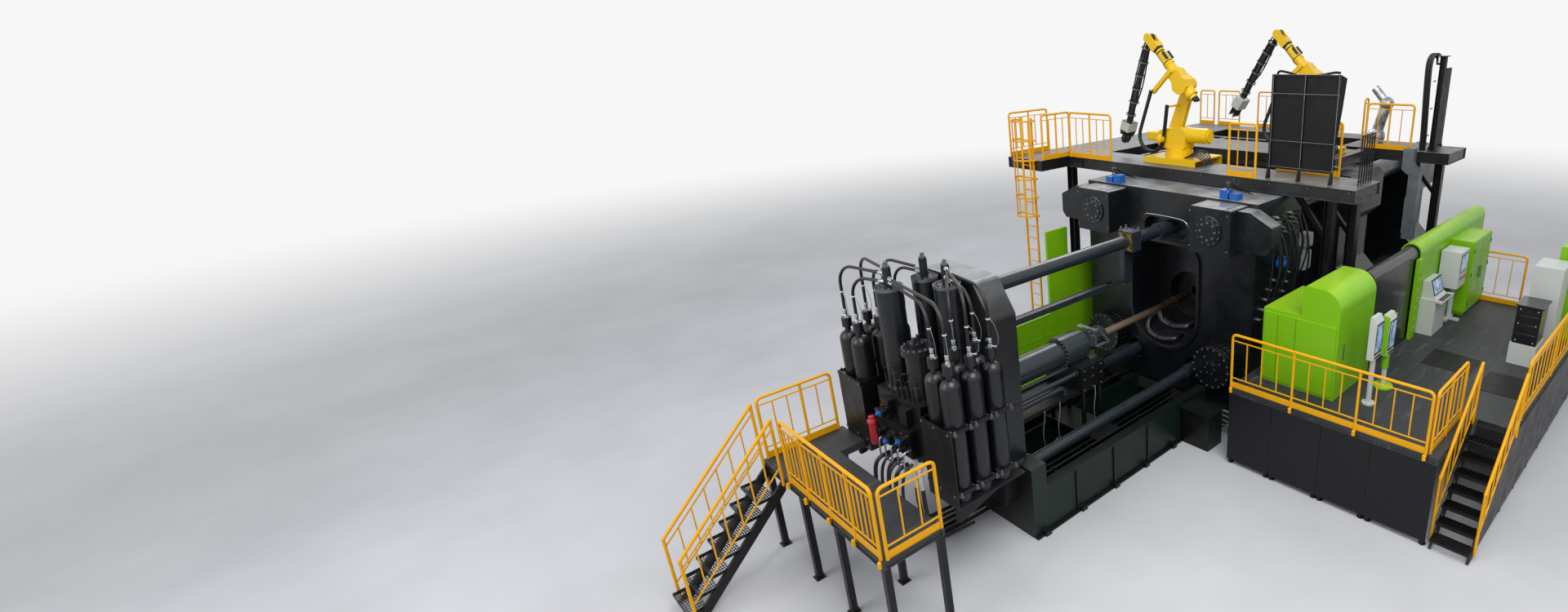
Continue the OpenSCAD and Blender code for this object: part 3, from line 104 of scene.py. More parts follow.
# A painted surface: patches of tone, dust and painted top light on what faces up, fine scuffs
# and a light orange peel. The grains are in mm, peel is its depth in m, gleam the specular level,
# and below the height given as the last argument hardly any dust or painted top light lies
def paint(name, tone, roughness, patchMm=700, patch=0.2, dustAndTopLight=0.2, dustAndTopLightTone="#8a8a86", scuff=0.12,
          scuffMm=60, peelMm=14, peel=0.0006, coat=0.0, metallic=0.0, shade=0.72, gleam=0.5, dustAndTopLightFrom=None):
    material, tree, shader = newMaterial(name)
    base = linear(tone)
    dark = tuple(c * shade for c in base[:3]) + (1.0,)
    patches = grain(tree, patchMm, 0.35, 0.7, 0.0, min(1.0, patch * 4))
    color = addNode(tree, "Mix", patches, base, dark, data_type="RGBA")
    scuffs = grain(tree, scuffMm, 0.6, 0.78, 0.0, scuff, 6.0)
    color = addNode(tree, "Mix", scuffs, color, linear("#9a9c9e"), data_type="RGBA")
    normal = addNode(tree, "SeparateXYZ", addNode(tree, "NewGeometry").outputs["Normal"])
    # What faces up takes dust, and in some finishes a painted light from above in a lit tone
    up = addNode(tree, "MapRange", normal.outputs[2], 0.45, 0.95)
    dustAndTopLightSpread = grain(tree, 420, 0.3, 0.75, dustAndTopLight * 0.35, dustAndTopLight, 4.0)
    dustAndTopLightMask = addNode(tree, "Math", up, dustAndTopLightSpread, operation="MULTIPLY")
    if dustAndTopLightFrom is not None:
        height = addNode(tree, "SeparateXYZ", objectPoint(tree)).outputs[2]
        heightShare = addNode(tree, "MapRange", height, dustAndTopLightFrom, dustAndTopLightFrom + 0.2, 0.12, 1.0)
        dustAndTopLightMask = addNode(tree, "Math", dustAndTopLightMask, heightShare, operation="MULTIPLY")
    color = addNode(tree, "Mix", dustAndTopLightMask, color, linear(dustAndTopLightTone), data_type="RGBA")
    gloss = grain(tree, 240, 0.3, 0.7, roughness - 0.06, roughness + 0.1, 4.0)
    skin = addNode(tree, "Bump", Strength=0.35, Distance=peel, Height=grain(tree, peelMm, detail=2.0))
    fillInputs(tree, shader, Base_Color=color, Roughness=gloss, Normal=skin, Metallic=metallic,
               Coat_Weight=coat, Coat_Roughness=0.12, Specular_IOR_Level=gleam)
    return material


# Welded frames: near-black enamel, satin, a little grey where it faces up
bedBlack = paint("satinBlackEnamel", "#08090b", 0.40, dustAndTopLight=0.16, dustAndTopLightTone="#4c4e50", scuff=0.03, gleam=0.35)
# Castings: smoothed and enamelled in graphite, the flat tops pale with dust and painted light from above
castGraphite = paint("graphiteCastEnamel", "#101216", 0.30, patchMm=1100, dustAndTopLight=0.85, dustAndTopLightTone="#a2a5a8",
                     peelMm=30, peel=0.0003, scuff=0.0, dustAndTopLightFrom=3.9)
# Columns and cylinders: a bluer, smoother graphite that carries long highlights
columnGraphite = paint("columnGraphite", "#222930", 0.25, patchMm=1600, patch=0.08, dustAndTopLight=0.05,
                       dustAndTopLightTone="#7c838b", peelMm=60, peel=0.00005, scuff=0.0)
# Gas bottles: soft black paint with round highlights
bottlePaint = paint("bottleBlack", "#111317", 0.29, patchMm=900, patch=0.05, dustAndTopLight=0.03, peelMm=30,
                    peel=0.0001, scuff=0.0)
# Rails: amber satin paint, hardly worn
railAmber = paint("amberRailPaint", "#e6a400", 0.42, patchMm=900, patch=0.06, dustAndTopLight=0.0, scuff=0.0,
                  gleam=0.25, peel=0.0002, shade=0.84)
# Guards: lime powder coat, the round tops brightened by a painted highlight
guardLime = paint("limePowderCoat", "#78b40c", 0.34, patchMm=1500, patch=0.08, dustAndTopLight=0.35,
                  dustAndTopLightTone="#c4dc3a", scuff=0.02, coat=0.05, peelMm=8, peel=0.0003, shade=0.88, gleam=0.35)
# Sliding door and black cabinets: lacquered sheet, deep black with a clear reflection
doorBlack = paint("doorGlossBlack", "#0e0f14", 0.22, patchMm=2600, patch=0.04, dustAndTopLight=0.05, scuff=0.0,
                  coat=0.3, peelMm=30, peel=0.0001)
# Consoles: light grey textured powder coat
consoleGrey = paint("consoleGrey", "#bcc0bc", 0.42, patch=0.06, dustAndTopLight=0.08, dustAndTopLightTone="#e4e4e0", scuff=0.04,
                    peelMm=5, peel=0.0004, shade=0.9)
# Spray screens: dull black sheet, faint stains of release agent
screenBlack = paint("screenSheetBlack", "#070808", 0.52, patchMm=380, dustAndTopLight=0.3, dustAndTopLightTone="#7d7d7d",
                    scuff=0.04, gleam=0.25)
# Cable duct and thin lines: dull zinc with cloudy patches
zincSheet = paint("zincSheet", "#7d8388", 0.38, patchMm=160, dustAndTopLight=0.1, metallic=0.45, scuff=0.15)
# Robot castings: warm yellow enamel under a thin clear coat
robotYellow = paint("robotYellowEnamel", "#e3b800", 0.34, patch=0.07, dustAndTopLight=0.03, dustAndTopLightTone="#f8e39a",
                    scuff=0.02, gleam=0.35, coat=0.2, peelMm=10, peel=0.0004, shade=0.86)
# Lances: black sleeve with grey wear
lanceBlack = paint("lanceSleeve", "#101113", 0.46, patchMm=160, dustAndTopLight=0.1, scuffMm=40)
# Valve blocks: blue anodised metal, a dull sheen
valveBlue = paint("valveBlue", "#1d62b4", 0.30, patch=0.1, dustAndTopLight=0.12, metallic=0.25, scuff=0.08)
# Hoses: rubber with a soft sheen
hoseRubber = paint("hoseRubber", "#0d0e10", 0.36, patchMm=120, dustAndTopLight=0.06, scuff=0.03, peelMm=6, peel=0.0003)
# Bolt heads: blackened steel, rubbed grey
boltDark = paint("blackenedBolts", "#6a6d71", 0.35, patchMm=60, dustAndTopLight=0.3, metallic=0.6, scuff=0.3,
                 scuffMm=20)
# Fittings: turned and zinc plated steel, bright
fittingSteel = paint("platedSteel", "#c3c6c8", 0.24, patchMm=50, dustAndTopLight=0.06, metallic=0.9, scuffMm=15)
# Filter bottle and push buttons: red lacquer under a clear coat
filterRed = paint("filterRed", "#b32436", 0.32, patchMm=120, dustAndTopLight=0.06, scuff=0.05, coat=0.3)
# Hose sleeves: white plastic, nearly matt
sleeveWhite = paint("whiteSleeve", "#d9dad8", 0.45, patchMm=90, dustAndTopLight=0.05, scuff=0.08)
# Column clamp: turned bronze, a dull gold
clampBronze = paint("clampBronze", "#b08a3c", 0.3, patchMm=60, dustAndTopLight=0.1, metallic=0.8, scuff=0.15)
# Top platform: black sections whose walked tops are pale grey with dust and painted light from above
walkwayDustAndTopLight = paint("walkwayDustAndTopLight", "#131416", 0.38, dustAndTopLight=0.8, dustAndTopLightTone="#6f7173", scuff=0.08, scuffMm=90)


# Deck plates: dark anti-slip steel with pale scuffs along the walking line and thin plate joints;
# the raised tears are drawn coarser than they are, so that they show
def deckMaterial():
    material, tree, shader = newMaterial("scuffedDeckPlate")
    color = addNode(tree, "Mix", grain(tree, 900, 0.35, 0.7, detail=5.0), linear("#2e3033"),
                    linear("#222427"), data_type="RGBA")
    streaks = grain(tree, 240, detail=7.0, stretch=(0.35, 1.6, 1.0), rough=0.65)
    worn = addNode(tree, "MapRange", streaks, 0.54, 0.76, 0.0, 0.45)
    color = addNode(tree, "Mix", worn, color, linear("#6a6c6e"), data_type="RGBA")
    white = (1, 1, 1, 1)
    joints = addNode(tree, "TexBrick", objectPoint(tree), white, white, (0.25, 0.25, 0.25, 1), offset=0.0,
                     Scale=1.0, Mortar_Size=0.006, Brick_Width=1.5, Row_Height=1.2)
    color = addNode(tree, "Mix", 1.0, color, joints, data_type="RGBA", blend_type="MULTIPLY")
    gloss = addNode(tree, "MapRange", streaks, 0.4, 0.75, 0.5, 0.68)
    tears = addNode(tree, "TexVoronoi", Vector=objectPoint(tree, (1.0, 1.7, 1.0)), Scale=55.0)
    grip = addNode(tree, "Bump", invert=True, Strength=0.5, Distance=0.0015, Height=tears)
    fillInputs(tree, shader, Base_Color=color, Roughness=gloss, Normal=grip)
    return material


# Plunger rod: ground steel, straw and brown where it has been hot
def plungerMaterial():
    material, tree, shader = newMaterial("heatTintedSteel")
    heat = addNode(tree, "MapRange", addNode(tree, "SeparateXYZ", objectPoint(tree)), -1.6, 0.0)
    color = addNode(tree, "Mix", heat, linear("#9c8670"), linear("#3a261d"), data_type="RGBA")
    stains = grain(tree, 240, 0.5, 0.75, 0.0, 0.5, 4.0, (1.0, 3.0, 3.0))
    color = addNode(tree, "Mix", stains, color, linear("#6f6a66"), data_type="RGBA")
    rubbed = grain(tree, 30, 0.3, 0.7, 0.24, 0.4, 3.0, (6.0, 1.0, 1.0))
    fillInputs(tree, shader, Base_Color=color, Roughness=rubbed, Metallic=0.55)
    return material


# Silver heat cover: crumpled foil cloth, painted highlights on the creases and painted shade in the folds
def coverMaterial():
    material, tree, shader = newMaterial("crumpledFoilCover")
    folds = grain(tree, 110, detail=5.0, stretch=(1.0, 1.0, 0.6), rough=0.6)
    # Painted light: the crests of the folds are painted bright and the troughs dark
    foldHighlightAndShade = addNode(tree, "MapRange", folds, 0.35, 0.65)
    color = addNode(tree, "Mix", foldHighlightAndShade, linear("#5f6366"), linear("#c4c7c9"), data_type="RGBA")
    gloss = addNode(tree, "MapRange", folds, 0.3, 0.7, 0.45, 0.25)
    crumple = addNode(tree, "Bump", Strength=1.0, Distance=0.03, Height=folds)
    fillInputs(tree, shader, Base_Color=color, Roughness=gloss, Normal=crumple, Metallic=0.75)
    return material


# Bed: the same enamel as the frames, dark green on the outer walls
def bedMaterial():
    material = paint("bedEnamel", "#08090a", 0.34, dustAndTopLight=0.2, dustAndTopLightTone="#323638", scuff=0.05, gleam=0.35)
    tree = material.node_tree
    shader = tree.nodes["Principled BSDF"]
    color = shader.inputs["Base Color"].links[0].from_socket
    normal = addNode(tree, "SeparateXYZ", addNode(tree, "NewGeometry").outputs["Normal"])
    side = addNode(tree, "Math", normal.outputs[1], operation="ABSOLUTE")
    wall = addNode(tree, "MapRange", side, 0.7, 0.9)
    green = addNode(tree, "Math", wall, grain(tree, 2600, 0.3, 0.6, 0.5, 0.9), operation="MULTIPLY")
    fillInputs(tree, shader, addNode(tree, "Mix", green, color, linear("#0b1f16"), data_type="RGBA"))
    return material


# Display glass: smooth, lit from behind in soft bands of pale blue
def glassMaterial():
    material, tree, shader = newMaterial("displayGlass")
    tones = grain(tree, 90, 0.4, 0.62, detail=2.0, stretch=(1.0, 1.0, 0.4))
    color = addNode(tree, "Mix", tones, linear("#4a6f9c"), linear("#a9bed3"), data_type="RGBA")
    fillInputs(tree, shader, Base_Color=color, Emission_Color=color, Emission_Strength=0.35, Roughness=0.08,
               Coat_Weight=0.5)
    return material


screenGlass = glassMaterial()
slotMaterial = {
    "bed_black": bedBlack, "cast_graphite": castGraphite, "column_graphite": columnGraphite,
    "plunger_steel": plungerMaterial(), "bottle_black": bottlePaint, "hose_rubber": hoseRubber,
    "deck_plate": deckMaterial(), "rail_amber": railAmber, "guard_lime": guardLime, "door_black": doorBlack,
    "console_grey": consoleGrey, "screen_black": screenBlack, "zinc_sheet": zincSheet,
    "robot_yellow": robotYellow, "lance_black": lanceBlack, "cover_silver": coverMaterial(),
    "valve_blue": valveBlue,
}
ownMaterial = {"base_frame": bedMaterial(), "top_deck": walkwayDustAndTopLight}
print("materials ready")

for part in frame["record"]["subparts"]:
    cadObject = nodes[part["node"]]
    cadObject.data.materials.clear()
    cadObject.data.materials.append(ownMaterial.get(part["node"], slotMaterial[part["material_slot"]]))
print("CAD nodes painted")

# Directions in the machine's frame
toShotEnd = (-1, 0, 0)
toClampEnd = (1, 0, 0)
toOperator = (0, -1, 0)
toFarSide = (0, 1, 0)
toTop = (0, 0, 1)


def axisFrame(direction):
    along = Vector(direction).normalized()
    side = along.cross(Vector((0, 0, 1)))
    if side.length < 1e-4:
        side = Vector((1, 0, 0))
    side.normalize()
    return side, along.cross(side).normalized(), along


def addLoop(mesh, centre, across, up, radius, count):
    return [mesh.verts.new(centre + across * radius * math.cos(2 * math.pi * i / count)
                           + up * radius * math.sin(2 * math.pi * i / count)) for i in range(count)]


def joinLoops(mesh, first, second):
    count = len(first)
    for i in range(count):
        mesh.faces.new((first[i], first[(i + 1) % count], second[(i + 1) % count], second[i]))


def closeTube(mesh, loops):
    for first, second in zip(loops, loops[1:]):
        joinLoops(mesh, first, second)
    mesh.faces.new(list(reversed(loops[0])))
    mesh.faces.new(loops[-1])


def addBox(mesh, low, high, matrix=None):
    place = matrix or Matrix.Identity(4)
    corners = [mesh.verts.new(place @ Vector(corner)) for corner in product(*zip(low, high))]
    for face in ((0, 1, 3, 2), (4, 6, 7, 5), (0, 4, 5, 1), (2, 3, 7, 6), (0, 2, 6, 4), (1, 5, 7, 3)):
        mesh.faces.new([corners[i] for i in face])


def addBoxes(mesh, boxes):
    for low, high in boxes:
        addBox(mesh, low, high)


# A turned part: (distance along the axis, radius) pairs from the start point
def addTurned(mesh, start, direction, profile, count=20):
    across, up, along = axisFrame(direction)
    closeTube(mesh, [addLoop(mesh, Vector(start) + along * d, across, up, max(r, 1e-4), count)
                     for d, r in profile])


def addRod(mesh, start, end, radius, count=10):
    direction = Vector(end) - Vector(start)
    addTurned(mesh, start, direction, [(0.0, radius), (direction.length, radius)], count)


# A washer, a hexagon head with a chamfer and a short thread end
def addBolt(mesh, place, direction, size):
    along = axisFrame(direction)[2]
    addTurned(mesh, place, direction, [(0.0, size * 1.25), (size * 0.22, size * 1.25)], 12)
    head = Vector(place) + along * size * 0.22
    addTurned(mesh, head, direction, [(0.0, size), (size * 0.6, size), (size * 0.75, size * 0.82)], 6)
    thread = head + along * size * 0.75
    addTurned(mesh, thread, direction, [(0.0, size * 0.45), (size * 0.3, size * 0.4)], 8)


# Bolts at every crossing of the given levels
def addBolts(mesh, xs, ys, zs, direction, size):
    for place in product(xs, ys, zs):
        addBolt(mesh, place, direction, size)


def addBoltRing(mesh, centre, direction, radius, count, size, turn=0.0):
    across, up = axisFrame(direction)[:2]
    for i in range(count):
        angle = turn + 2 * math.pi * i / count
        addBolt(mesh, Vector(centre) + across * radius * math.cos(angle) + up * radius * math.sin(angle),
                direction, size)


# A flat band round an axis, open at neither end
def addBand(mesh, centre, direction, inner, outer, height, count=36):
    across, up, along = axisFrame(direction)
    loops = [addLoop(mesh, Vector(centre) + along * d, across, up, r, count)
             for d, r in ((0, inner), (0, outer), (height, outer), (height, inner))]
    for i in range(4):
        joinLoops(mesh, loops[i], loops[(i + 1) % 4])


def smoothPath(points, steps):
    places = [Vector(p) for p in points]
    padded = [places[0] * 2 - places[1]] + places + [places[-1] * 2 - places[-2]]
    path = []
    for i in range(1, len(padded) - 2):
        a, b, c, d = padded[i - 1:i + 3]
        for k in range(steps):
            t = k / steps
            path.append(0.5 * (2 * b + (c - a) * t + (2 * a - 5 * b + 4 * c - d) * t * t
                               + (3 * b - a - 3 * c + d) * t ** 3))
    return path + [places[-1]]


# A round hose along a line of points, with its frame carried along without twist
def addHose(mesh, path, radius, count=10):
    across = axisFrame(path[1] - path[0])[0]
    loops = []
    for i, place in enumerate(path):
        ahead = (path[min(i + 1, len(path) - 1)] - path[max(i - 1, 0)]).normalized()
        across = (across - ahead * across.dot(ahead)).normalized()
        loops.append(addLoop(mesh, place, across, ahead.cross(across), radius, count))
    closeTube(mesh, loops)


# A hose through the points of its route
def addRoute(mesh, points, radius, steps=7, count=10):
    addHose(mesh, smoothPath(points, steps), radius, count)


def moved(route, x=0.0, y=0.0, z=0.0):
    return [(a + x, b + y, c + z) for a, b, c in route]


# A profile in the (first, second) plane of two axes, pushed from one level to another
def addSlab(mesh, outline, start, end, toPoint):
    closeTube(mesh, [[mesh.verts.new(toPoint(a, b, level)) for a, b in outline] for level in (start, end)])


def makeObject(name, mesh, material, bevel=0.0):
    bmesh.ops.recalc_face_normals(mesh, faces=mesh.faces)
    for face in mesh.faces:
        face.smooth = True
    for edge in mesh.edges:
        if len(edge.link_faces) == 2:
            edge.smooth = edge.calc_face_angle() < math.radians(38)
    data = bpy.data.meshes.new(name)
    mesh.to_mesh(data)
    mesh.free()
    piece = bpy.data.objects.new(name, data)
    bpy.context.scene.collection.objects.link(piece)
    data.materials.append(material)
    if bevel:
        rounding = piece.modifiers.new("rounding", "BEVEL")
        rounding.width = bevel
        rounding.segments = 2
        rounding.limit_method = "ANGLE"
    return piece


def makePiece(name, mesh, material, body="machine", bevel=0.0):
    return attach(makeObject(name, mesh, material, bevel), body)


# Stairs: channel stringers, open gratings with a ribbed nosing
stairs = {
    "rearStairFlight": {"node": "rear_stair", "x": -7.8603, "y0": 0.96, "y1": 1.60},
    "operatorStairFlight": {"node": "operator_stair", "x": 0.3997, "y0": -6.79, "y1": -6.198},
}
flight = {"steps": 8, "going": 0.2, "rise": 0.2, "top": 1.6, "plate": 0.010, "flange": 0.045, "edge": 0.012,
          "lap": 0.23, "tread": 0.26, "cheek": 0.05, "lip": 0.045, "sheet": 0.006, "ridges": 4,
          "ridgePitch": 0.009, "barPitch": 0.032, "barDepth": 0.032, "rodPitch": 0.06, "bolt": 0.009}


def buildStair(name, place):
    mesh = bmesh.new()
    going, rise, top, plate, edge = (flight[key] for key in ("going", "rise", "top", "plate", "edge"))
    run = going * flight["steps"]
    stringer = [(0, 0), (run, -top), (run - going, -top), (0, -rise)]
    upperEdge = [(0, 0), (run, -top), (run - edge, -top), (0, -edge)]
    lowerEdge = [(0, -rise + edge), (run - going + edge, -top), (run - going, -top), (0, -rise)]

    def toPoint(a, b, y):
        return Vector((place["x"] - a, y, top + b))

    for wall, inward in ((place["y0"], 1), (place["y1"], -1)):
        addSlab(mesh, stringer, wall, wall + inward * plate, toPoint)
        for outline in (upperEdge, lowerEdge):
            addSlab(mesh, outline, wall + inward * plate, wall + inward * flight["flange"], toPoint)
    left = place["y0"] + plate
    right = place["y1"] - plate
    sheet = flight["sheet"]
    for step in range(1, flight["steps"]):
        front = place["x"] - step * going - flight["lap"]
        back = front + flight["tread"]
        level = top - step * rise
        for y in (left, right - sheet):
            addBox(mesh, (front, y, level - flight["cheek"]), (back, y + sheet, level))
        addBox(mesh, (front, left, level - flight["lip"]), (front + sheet, right, level))
        for ridge in range(flight["ridges"]):
            x = front + sheet + ridge * flight["ridgePitch"]
            addBox(mesh, (x, left, level - 0.006), (x + 0.004, right, level + 0.002))
        bars = int((back - front - 0.05) / flight["barPitch"])
        for bar in range(bars + 1):
            x = front + 0.046 + bar * flight["barPitch"]
            addBox(mesh, (x, left, level - flight["barDepth"]), (x + 0.003, right, level))
        rods = int((right - left) / flight["rodPitch"])
        for rod in range(1, rods):
            y = left + rod * flight["rodPitch"]
            addBox(mesh, (front, y, level - 0.010), (back, y + 0.005, level - 0.001))
        for y, outward in ((place["y0"], -1), (place["y1"], 1)):
            addBolts(mesh, (front + 0.07, back - 0.07), (y - outward * plate,), (level - 0.028,),
                     (0, -outward, 0), flight["bolt"])
    piece = makePiece(name, mesh, bedBlack)
    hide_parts(place["node"])


for stairName, stairPlace in stairs.items():
    buildStair(stairName, stairPlace)
print("stairs built")

# Bolts of the clamp unit: nut covers, drums, column flanges, shot cylinder
clampBolts = {
    "tieY": 1.47, "coverZ": 4.20, "drumZ": 1.30, "shotZ": 2.20, "coverTop": 4.64, "clampTop": 4.10,
    # (x, level, ring radius, bolts, bolt size, first angle) on each tie bar's axis
    "tieRings": [(-0.51, "coverZ", 0.252, 12, 0.014, 0.1), (-0.525, "coverZ", 0.165, 8, 0.022, 0.0),
                 (-0.29, "drumZ", 0.415, 18, 0.020, 0.0), (-0.31, "drumZ", 0.11, 6, 0.014, 0.0),
                 (-0.29, "drumZ", 0.26, 4, 0.016, 0.6)],
    # (x, direction, ring radius, bolts, bolt size) on the shot cylinder's axis
    "shotRings": [(-3.10, toShotEnd, 0.272, 22, 0.017), (-2.55, toClampEnd, 0.25, 14, 0.020),
                  (-1.88, toClampEnd, 0.108, 8, 0.010)],
}
boltMesh = bmesh.new()
for side in (-1, 1):
    y = side * clampBolts["tieY"]
    for x, level, radius, count, size, turn in clampBolts["tieRings"]:
        addBoltRing(boltMesh, (x, y, clampBolts[level]), toShotEnd, radius, count, size, turn)
    for i in range(9):
        addBolt(boltMesh, (-0.40 + 0.055 * i, y - 0.33, clampBolts["coverTop"]), toTop, 0.012)
        addBolt(boltMesh, (0.06, y - 0.40 + 0.1 * i, clampBolts["coverTop"]), toTop, 0.014)
    addBolts(boltMesh, (-0.48,), (y - 0.40, y + 0.43), (3.86, 4.54), toShotEnd, 0.016)
    addBolts(boltMesh, (-2.90, -2.68, -2.46), (side * 0.48,), (1.53, 1.75, 1.92), (0, side, 0), 0.017)
for x, direction, radius, count, size in clampBolts["shotRings"]:
    addBoltRing(boltMesh, (x, 0, clampBolts["shotZ"]), direction, radius, count, size)
for x, y in product((-1.09, -0.94), (-0.155, 0.155)):
    addTurned(boltMesh, (x, y, clampBolts["clampTop"]), toTop, [(0, 0.017), (0.07, 0.017)], 10)
    addBolt(boltMesh, (x, y, clampBolts["clampTop"]), toTop, 0.03)
addBolts(boltMesh, (-5.30,), (-0.9, -0.5, 0.5, 0.9), (0.98, 1.5, 2.9, 3.5), toShotEnd, 0.03)
makePiece("machineBolts", boltMesh, boltDark)

# Drum ribs behind the front plate, and the rings that tie them
drumRibs = {"count": 28, "x0": -0.22, "x1": 0.07, "inner": 0.41, "outer": 0.455, "half": 0.012,
            "rings": (-0.235, -0.10, 0.06), "ringOuter": 0.46, "ringWidth": 0.022}
ribOrHighlightStripMesh = bmesh.new()
for side in (-1, 1):
    centre = Vector((0, side * clampBolts["tieY"], clampBolts["drumZ"]))
    for i in range(drumRibs["count"]):
        turn = Matrix.Translation(centre) @ Matrix.Rotation(2 * math.pi * i / drumRibs["count"], 4, "X")
        addBox(ribOrHighlightStripMesh, (drumRibs["x0"], -drumRibs["half"], drumRibs["inner"]),
               (drumRibs["x1"], drumRibs["half"], drumRibs["outer"]), turn)
    for x in drumRibs["rings"]:
        addBand(ribOrHighlightStripMesh, centre + Vector((x, 0, 0)), toClampEnd, drumRibs["inner"], drumRibs["ringOuter"],
                drumRibs["ringWidth"], 48)
makePiece("drumRibs", ribOrHighlightStripMesh, bedBlack)

# Column clamp: bronze halves with their top and bottom lips
columnClamp = {"xs": (-1.165, -0.895), "z": 3.90, "bore": 0.127, "outer": 0.165, "width": 0.03,
               "lipZs": (3.74, 4.03), "halfLip": 0.155}
bronzeMesh = bmesh.new()
for x in columnClamp["xs"]:
    addBand(bronzeMesh, (x, 0, columnClamp["z"]), toClampEnd, columnClamp["bore"], columnClamp["outer"],
            columnClamp["width"], 40)
    for z in columnClamp["lipZs"]:
        addBox(bronzeMesh, (x, -columnClamp["halfLip"], z), (x + 0.03, columnClamp["halfLip"], z + 0.03))
makePiece("columnClampBronze", bronzeMesh, clampBronze, bevel=0.002)
print("bolts and clamp details built")

# Bottle racks: bands round the outer bottles, studs and nuts on the straps
bottles = {"xs": [-6.32, -5.96, -5.60], "ys": [1.0, 1.35], "top": 3.68, "bandZs": [1.69, 2.67],
           "band": (0.1455, 0.152, 0.044), "strapY": 1.53, "studOut": 0.135}
bandMesh = bmesh.new()
studMesh = bmesh.new()
for side in (-1, 1):
    y = side * bottles["strapY"]
    for x, z in product(bottles["xs"], bottles["bandZs"]):
        addBand(bandMesh, (x, side * bottles["ys"][1], z - 0.022), toTop, *bottles["band"])
        for studX in (x - bottles["studOut"], x + bottles["studOut"]):
            addRod(studMesh, (studX, y - side * 0.12, z), (studX, y + side * 0.055, z), 0.011)
            addBolt(studMesh, (studX, y, z), (0, side, 0), 0.021)
            addBox(studMesh, (studX - 0.012, y - 0.004, z - 0.05), (studX + 0.012, y + 0.004, z + 0.05))
    addBolts(studMesh, (-6.53,), (side * 0.86, side * 1.15, side * 1.48), bottles["bandZs"], toShotEnd,
             0.016)
makePiece("bottleBands", bandMesh, bedBlack)
makePiece("bottleStuds", studMesh, boltDark)

# Fittings: each bottle's valve, hose ferrule and thin bleed line, as profiles and offsets from its top
fittings = {
    "socket": [(0, 0.040), (0.018, 0.040), (0.024, 0.033), (0.055, 0.033), (0.06, 0.029)],
    "neck": [(0, 0.028), (0.02, 0.030), (0.065, 0.030), (0.075, 0.026)],
    "port": [(0, 0.013), (0.07, 0.013), (0.075, 0.018), (0.10, 0.018), (0.105, 0.009)],
    "ferrule": [(0, 0.034), (0.02, 0.034), (0.022, 0.030), (0.10, 0.030), (0.11, 0.026)],
    "bleed": [(0.09, -0.05), (0.13, 0.02), (0.13, 0.16), (0.08, 0.30), (0.03, 0.36)], "bleedRadius": 0.0045,
    "hoseZ": 4.36, "hosePitch": 0.0624,
}
pistons = [(-6.10, 0.30), (-5.50, -0.30), (-5.50, 0.27)]
# Each hose: piston accumulator, bottle along x, row of bottles, side, level at the accumulator
hosePlan = [(0, 0, 0, 1, 0), (0, 1, 0, 1, 1), (0, 0, 1, 1, 2), (0, 1, 1, 1, 3), (0, 0, 0, -1, 0),
            (0, 0, 1, -1, 1), (1, 2, 0, -1, 0), (1, 1, 0, -1, 1), (1, 2, 1, -1, 2), (1, 1, 1, -1, 3),
            (2, 2, 0, 1, 0), (2, 2, 1, 1, 1)]
fittingMesh = bmesh.new()
lineMesh = bmesh.new()
clipMesh = bmesh.new()
for side, x, y in product((-1, 1), bottles["xs"], bottles["ys"]):
    place = Vector((x, side * y, bottles["top"]))
    addTurned(fittingMesh, place - Vector((0, 0, 0.075)), toTop, fittings["socket"], 6)
    addTurned(fittingMesh, place, toTop, fittings["neck"], 16)
    heading = randomSource.uniform(-2.4, -0.6)
    out = Vector((math.cos(heading), math.sin(heading), 0))
    addTurned(fittingMesh, place + Vector((0, 0, -0.05)), out, fittings["port"], 10)
    bleed = [place + out * away + Vector((0, 0, rise)) for away, rise in fittings["bleed"]]
    addRoute(lineMesh, bleed, fittings["bleedRadius"], 6, 8)
    addBand(clipMesh, place + Vector((0, 0, 0.35)), toTop, 0.0245, 0.029, 0.02, 20)
for piston, bottle, row, side, level in hosePlan:
    source = Vector((*pistons[piston], fittings["hoseZ"] + level * fittings["hosePitch"]))
    target = Vector((bottles["xs"][bottle], side * bottles["ys"][row], source.z))
    heading = (target - source).normalized()
    addTurned(fittingMesh, source + heading * 0.063, heading, fittings["ferrule"], 12)
makePiece("hoseFittings", fittingMesh, fittingSteel)
makePiece("bleedLines", lineMesh, zincSheet)
makePiece("bleedLineClips", clipMesh, sleeveWhite)
print("bottle fittings built")

# Piston accumulators: flange bolts, port caps and lifting lugs
accumulator = {
    "foot": [(0, 0.225), (0.035, 0.225), (0.04, 0.21)],
    "lug": [(0, 0.05), (0.03, 0.05), (0.035, 0.03), (0.08, 0.03)],
    # (z, ring radius, bolts, bolt size) on the short accumulator
    "shortRings": [(3.49, 0.215, 16, 0.019), (3.56, 0.095, 6, 0.010)],
}
flangeMesh = bmesh.new()
for x, y in pistons:
    addBand(flangeMesh, (x, y, 4.255), toTop, 0.198, 0.207, 0.05, 40)
    addBoltRing(flangeMesh, (x, y, 4.30), toTop, 0.155, 12, 0.016)
    addTurned(flangeMesh, (x, y, 2.70), toTop, accumulator["foot"], 36)
    addTurned(flangeMesh, (x, y, 4.59), toTop, accumulator["lug"], 12)
for z, radius, count, size in accumulator["shortRings"]:
    addBoltRing(flangeMesh, (-6.10, -0.27, z), toTop, radius, count, size)
makePiece("accumulatorFlanges", flangeMesh, boltDark)

